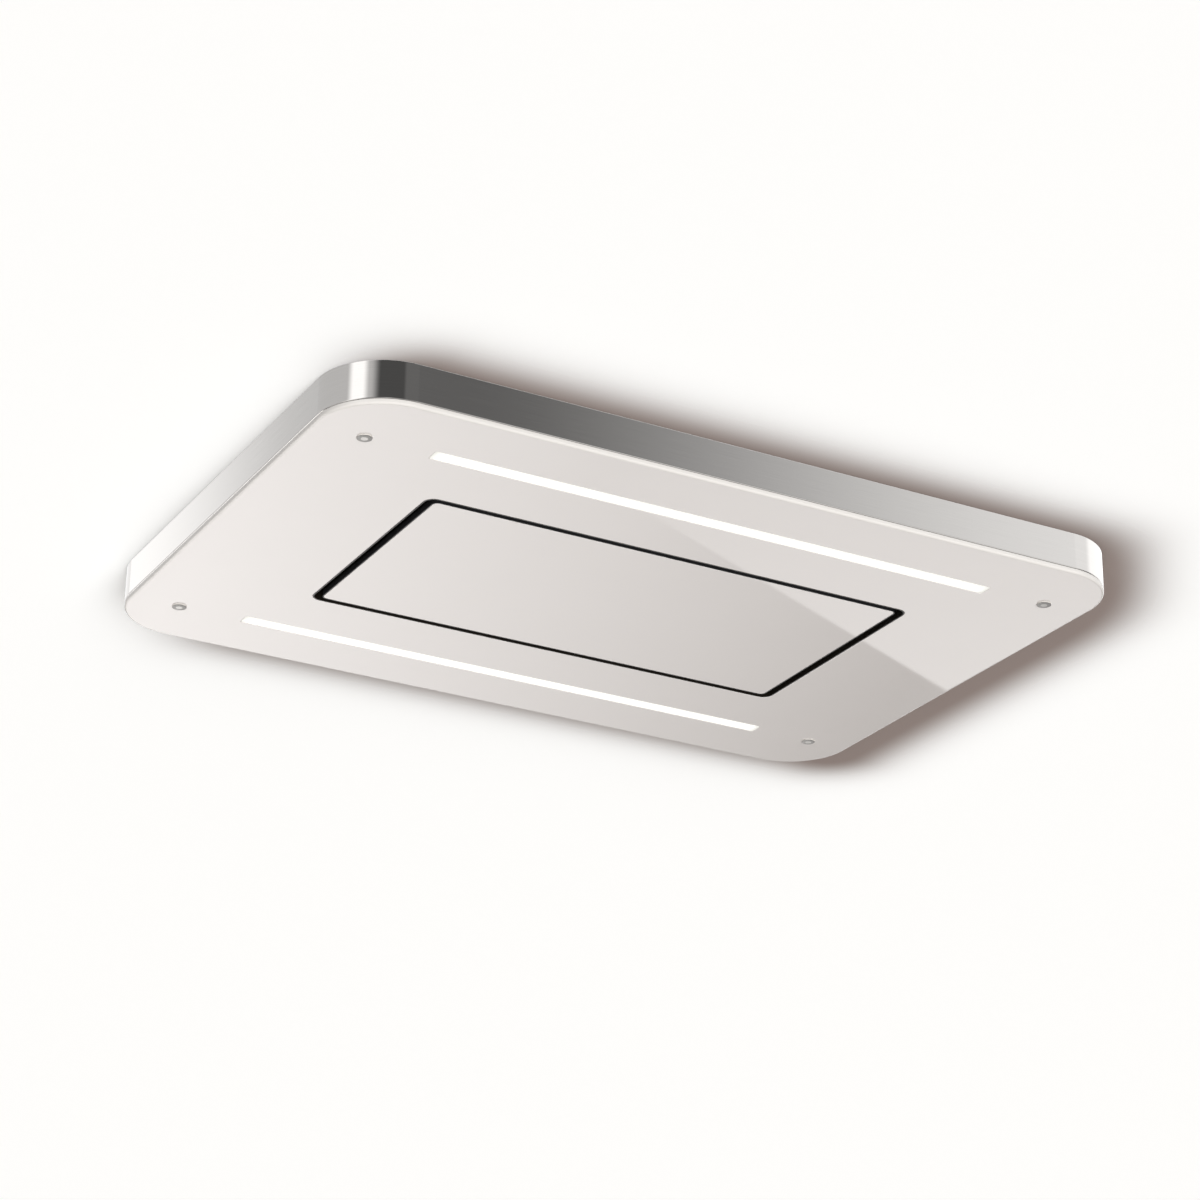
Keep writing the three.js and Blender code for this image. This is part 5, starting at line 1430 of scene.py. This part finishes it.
def ceiling_paint(colours):
    """Matt white emulsion. For the camera its colour is divided by the light that falls on the open plane, so
    that the plane shows as its own white and keeps the hood's real shadow, and a painted shade round the slab
    and along the steel band darkens it further. Light that bounces meets a plain grey."""
    material = bpy.data.materials.new("matt_emulsion")
    material.use_nodes = True
    tree = material.node_tree
    tree.nodes.clear()
    upwards = sum(strength * max(0, Vector(way).normalized().z) for _, way, _, strength in LAMPS)
    fallen = np.array(AMBIENT_BELOW) + upwards / math.pi
    bounced = 0.45
    shown = 0.99 * np.array(colours.ceiling) / fallen
    shaded = shown * (1 - np.array(SHADE_DEPTH))
    path = add_node(tree, "ShaderNodeLightPath")
    # Painted shade: the open white is mixed towards a darker tone round the slab and scaled down close to the
    # steel band
    tones = {"data_type": "RGBA", 6: (*shown, 1), 7: (*shaded, 1)}
    white = add_node(tree, "ShaderNodeMix", tones, {0: slab_shade(tree)})
    closeness = spread(tree, close_shade(tree), 1, 1 - CLOSE_SHADE, 0, 1)
    close = add_node(
        tree,
        "ShaderNodeVectorMath",
        {"operation": "SCALE"},
        {0: white.outputs[2], 3: closeness},
    )
    ends = {"data_type": "RGBA", 6: (bounced, bounced, bounced, 1)}
    links = {0: path.outputs["Is Camera Ray"], 7: close.outputs["Vector"]}
    seen = add_node(tree, "ShaderNodeMix", ends, links)
    matt = add_node(tree, "ShaderNodeBsdfDiffuse", None, {"Color": seen.outputs[2]})
    clear = add_node(tree, "ShaderNodeBsdfTransparent")
    side = add_node(tree, "ShaderNodeNewGeometry")
    above = add_node(
        tree,
        "ShaderNodeMath",
        {"operation": "MULTIPLY"},
        {0: side.outputs["Backfacing"], 1: path.outputs["Is Camera Ray"]},
    )
    mix = add_node(
        tree, "ShaderNodeMixShader", None, {0: above.outputs[0], 1: matt.outputs[0], 2: clear.outputs[0]}
    )
    add_node(tree, "ShaderNodeOutputMaterial", None, {"Surface": mix.outputs[0]})
    return material


def slab_shade(tree):
    """How deep the painted soft shade round the slab is, exp(-(d / fade)^1.85), for the distance d outside a
    rounded rectangle or past one of two straight cuts, blended where they are alike."""
    coordinates = add_node(tree, "ShaderNodeTexCoord").outputs["Object"]
    distance = outside(tree, coordinates, SHADE_X, SHADE_Y, SHADE_CORNER)
    for normal, reach in SHADE_CUTS:
        settings = {"operation": "DOT_PRODUCT", 1: normal}
        across = add_node(tree, "ShaderNodeVectorMath", settings, {0: coordinates}).outputs["Value"]
        past = add_node(tree, "ShaderNodeMath", {"operation": "SUBTRACT", 1: reach}, {0: across}).outputs[0]
        blend = {"operation": "SMOOTH_MAX", 2: SHADE_BLEND}
        distance = add_node(tree, "ShaderNodeMath", blend, {0: distance, 1: past}).outputs[0]
    return fading(tree, distance, SHADE_FADE, 1.85)


def close_shade(tree):
    """The faint painted shade close to the steel band, exp(-(d / fade)^0.5) outside the slab's outline."""
    coordinates = add_node(tree, "ShaderNodeTexCoord").outputs["Object"]
    low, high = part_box("rim_band")
    corner = bpy.context.scene.hood_sizes.corner_radius
    distance = outside(tree, coordinates, (low.x, high.x), (low.y, high.y), corner)
    return fading(tree, distance, CLOSE_FADE, 0.5)


def outside(tree, point, along_x, along_y, corner):
    """Distance outside a rounded rectangle: |max(|p - middle| - half, 0)| - corner, half being half its
    sides less the corner's radius."""
    low = np.array([along_x[0], along_y[0], 0])
    high = np.array([along_x[1], along_y[1], 0])
    half = (high - low) / 2 - np.array([corner, corner, 0])
    settings = {"Location": -(low + high) / 2, "Scale": (1, 1, 0)}
    value = add_node(tree, "ShaderNodeMapping", settings, {"Vector": point}).outputs["Vector"]
    for operation, other in (("ABSOLUTE", (0, 0, 0)), ("SUBTRACT", half), ("MAXIMUM", (0, 0, 0))):
        step = add_node(tree, "ShaderNodeVectorMath", {"operation": operation, 1: other}, {0: value})
        value = step.outputs["Vector"]
    away = add_node(tree, "ShaderNodeVectorMath", {"operation": "LENGTH"}, {0: value}).outputs["Value"]
    return add_node(tree, "ShaderNodeMath", {"operation": "SUBTRACT", 1: corner}, {0: away}).outputs[0]


def fading(tree, distance, fade, power):
    """exp(-(max(d, 0) / fade)^power)"""
    steps = (("MAXIMUM", 0), ("DIVIDE", fade), ("POWER", power), ("MULTIPLY", -1), ("EXPONENT", 0))
    for operation, value in steps:
        step = add_node(tree, "ShaderNodeMath", {"operation": operation, 1: value}, {0: distance})
        distance = step.outputs[0]
    return distance


def make_lamp(name, direction, spread_angle, strength):
    """A broad soft lamp at a distance, given by the way its light travels and by how wide it looks."""
    lamp = bpy.data.lights.new(name, "SUN")
    lamp.energy = strength
    lamp.angle = math.radians(spread_angle)
    holder = bpy.data.objects.new(name, lamp)
    holder.matrix_world = Vector(direction).to_track_quat("-Z", "Y").to_matrix().to_4x4()
    holder.visible_glossy = False
    bpy.context.scene.collection.objects.link(holder)


def make_world(scene):
    """White for the camera, the studio for gloss surfaces, and a warm plain ambient light below the
    ceiling with a stronger one above it."""
    world = bpy.data.worlds.new("studio")
    world.use_nodes = True
    scene.world = world
    tree = world.node_tree
    tree.nodes.clear()
    direction = add_node(tree, "ShaderNodeTexCoord").outputs["Generated"]
    parts = add_node(tree, "ShaderNodeSeparateXYZ", None, {"Vector": direction})
    x, y, z = (parts.outputs[axis] for axis in "XYZ")
    over = add_node(
        tree,
        "ShaderNodeMapRange",
        {"interpolation_type": "SMOOTHSTEP", "From Min": -0.02, "From Max": 0.02},
        {"Value": z},
    )
    walls = studio_bands(tree, x, y, GREY_WALL, STUDIO_WALLS)
    floor = studio_floor(tree, direction, x, y, z)
    mirrored = add_node(tree, "ShaderNodeMix", None, {0: over.outputs[0], 2: floor, 3: walls})
    tones = {"data_type": "RGBA", 6: (1, 0.985, 0.975, 1), 7: (1, 0.995, 1, 1)}
    tone = add_node(tree, "ShaderNodeMix", tones, {0: over.outputs[0]})
    ends = {"data_type": "RGBA", 6: (*AMBIENT_BELOW, 1), 7: (*AMBIENT_ABOVE, 1)}
    ambient = add_node(tree, "ShaderNodeMix", ends, {0: over.outputs[0]})
    warm = add_node(
        tree,
        "ShaderNodeMix",
        {"data_type": "RGBA", "blend_type": "MULTIPLY", 0: 1.0},
        {6: tone.outputs[2], 7: mirrored.outputs[0]},
    )
    path = add_node(tree, "ShaderNodeLightPath")
    gloss = add_node(
        tree,
        "ShaderNodeMix",
        {"data_type": "RGBA"},
        {0: path.outputs["Is Glossy Ray"], 6: ambient.outputs[2], 7: warm.outputs[2]},
    )
    view = add_node(
        tree,
        "ShaderNodeMix",
        {"data_type": "RGBA", 7: (*linear("#fffefc"), 1)},
        {0: path.outputs["Is Camera Ray"], 6: gloss.outputs[2]},
    )
    background = add_node(tree, "ShaderNodeBackground", None, {"Color": view.outputs[2]})
    add_node(tree, "ShaderNodeOutputWorld", None, {"Surface": background.outputs[0]})


def studio_bands(tree, x, y, plain, bands):
    """Brightness round the horizon: a plain level, and over it each named band with soft ends."""
    azimuth = add_node(tree, "ShaderNodeMath", {"operation": "ARCTAN2"}, {0: x, 1: y}).outputs[0]
    level = add_node(tree, "ShaderNodeValue")
    level.outputs[0].default_value = plain
    level = level.outputs[0]
    for _, middle, half, soft, brightness in bands:
        offset = add_node(
            tree, "ShaderNodeMath", {"operation": "SUBTRACT", 1: math.radians(middle)}, {0: azimuth}
        )
        turned_back = add_node(
            tree, "ShaderNodeMath", {"operation": "WRAP", 1: math.pi, 2: -math.pi}, {0: offset.outputs[0]}
        )
        distance = add_node(tree, "ShaderNodeMath", {"operation": "ABSOLUTE"}, {0: turned_back.outputs[0]})
        fade = {
            "interpolation_type": "SMOOTHSTEP",
            "From Min": math.radians(half),
            "From Max": math.radians(half + soft),
            "To Min": 1.0,
            "To Max": 0.0,
        }
        share = add_node(tree, "ShaderNodeMapRange", fade, {"Value": distance.outputs[0]})
        level = add_node(
            tree, "ShaderNodeMix", {3: brightness}, {0: share.outputs[0], 2: level}
        ).outputs[0]
    return level


def studio_floor(tree, direction, x, y, z):
    """Brightness below the horizon: bands that fade to a plain level further down, and a large lit sheet
    on the far side. It is brightest towards the left, and a second sheet covers its right part with one
    straight edge."""
    tilt = 0.48
    tilted = add_node(tree, "ShaderNodeMath", {"operation": "MULTIPLY_ADD", 1: tilt}, {0: z, 2: x})
    fall = {"From Min": 0.128, "From Max": 0.345, "To Min": 2.9, "To Max": 0.2}
    sheet = add_node(tree, "ShaderNodeMapRange", fall, {"Value": tilted.outputs[0]})
    second_sheet = 1.72
    covered = add_node(
        tree, "ShaderNodeMath", {"operation": "MAXIMUM", 1: second_sheet}, {0: sheet.outputs[0]}
    )
    edge_normal = (0.2628, -0.5673, -0.7795)
    side = add_node(
        tree, "ShaderNodeVectorMath", {"operation": "DOT_PRODUCT", 1: edge_normal}, {0: direction}
    )
    edge = {"interpolation_type": "SMOOTHSTEP", "From Min": -0.0006, "From Max": 0.0006}
    beyond = add_node(tree, "ShaderNodeMapRange", edge, {"Value": side.outputs["Value"]})
    both = add_node(
        tree, "ShaderNodeMix", None, {0: beyond.outputs[0], 2: sheet.outputs[0], 3: covered.outputs[0]}
    )
    reach = {"interpolation_type": "SMOOTHSTEP", "From Min": 0.6, "From Max": 0.7}
    far_side = add_node(tree, "ShaderNodeMapRange", reach, {"Value": y})
    depth = {"interpolation_type": "SMOOTHSTEP", "From Min": -0.27, "From Max": -0.34}
    low_down = add_node(tree, "ShaderNodeMapRange", depth, {"Value": z})
    lit = {0: far_side.outputs[0], 1: low_down.outputs[0]}
    share = add_node(tree, "ShaderNodeMath", {"operation": "MULTIPLY"}, lit).outputs[0]
    fade = {"interpolation_type": "SMOOTHSTEP", "From Min": -0.45, "From Max": -0.65}
    steep = add_node(tree, "ShaderNodeMapRange", fade, {"Value": z}).outputs["Result"]
    bands = studio_bands(tree, x, y, PLAIN_FLOOR, FLOOR_BANDS)
    plain = add_node(tree, "ShaderNodeMix", {3: PLAIN_FLOOR}, {0: steep, 2: bands}).outputs[0]
    return add_node(tree, "ShaderNodeMix", None, {0: share, 2: plain, 3: both.outputs[0]}).outputs[0]


# ------------------------------------------------------------------ panel in the sidebar


OPERATORS = (
    HOOD_OT_glass_slab,
    HOOD_OT_rim,
    HOOD_OT_pan,
    HOOD_OT_light_strips,
    HOOD_OT_studs,
    HOOD_OT_panel,
    HOOD_OT_filters,
    HOOD_OT_electrics,
    HOOD_OT_body,
    HOOD_OT_fan,
    HOOD_OT_outlet,
    HOOD_OT_stage,
)


class HOOD_PT_sidebar(bpy.types.Panel):
    """Sizes, colours and the pieces in the order in which they are built."""

    bl_idname = "HOOD_PT_sidebar"
    bl_label = "Ceiling range hood"
    bl_space_type = "VIEW_3D"
    bl_region_type = "UI"
    bl_category = "Range hood"

    def draw(self, context):
        for group in (context.scene.hood_sizes, context.scene.hood_colours):
            column = self.layout.column(align=True)
            for name in group.__annotations__:
                column.prop(group, name)
        for operator in OPERATORS:
            self.layout.operator(operator.bl_idname)


CLASSES = (HoodSizes, HoodColours, *OPERATORS, HOOD_PT_sidebar)


def register():
    for cls in CLASSES:
        bpy.utils.register_class(cls)
    bpy.types.Scene.hood_sizes = bpy.props.PointerProperty(type=HoodSizes)
    bpy.types.Scene.hood_colours = bpy.props.PointerProperty(type=HoodColours)


def unregister():
    del bpy.types.Scene.hood_colours
    del bpy.types.Scene.hood_sizes
    for cls in reversed(CLASSES):
        bpy.utils.unregister_class(cls)


def main():
    """Builds every piece and the stage."""
    register()
    for operator in OPERATORS:
        group, action = operator.bl_idname.split(".")
        getattr(getattr(bpy.ops, group), action)()


if __name__ == "__main__":
    main()
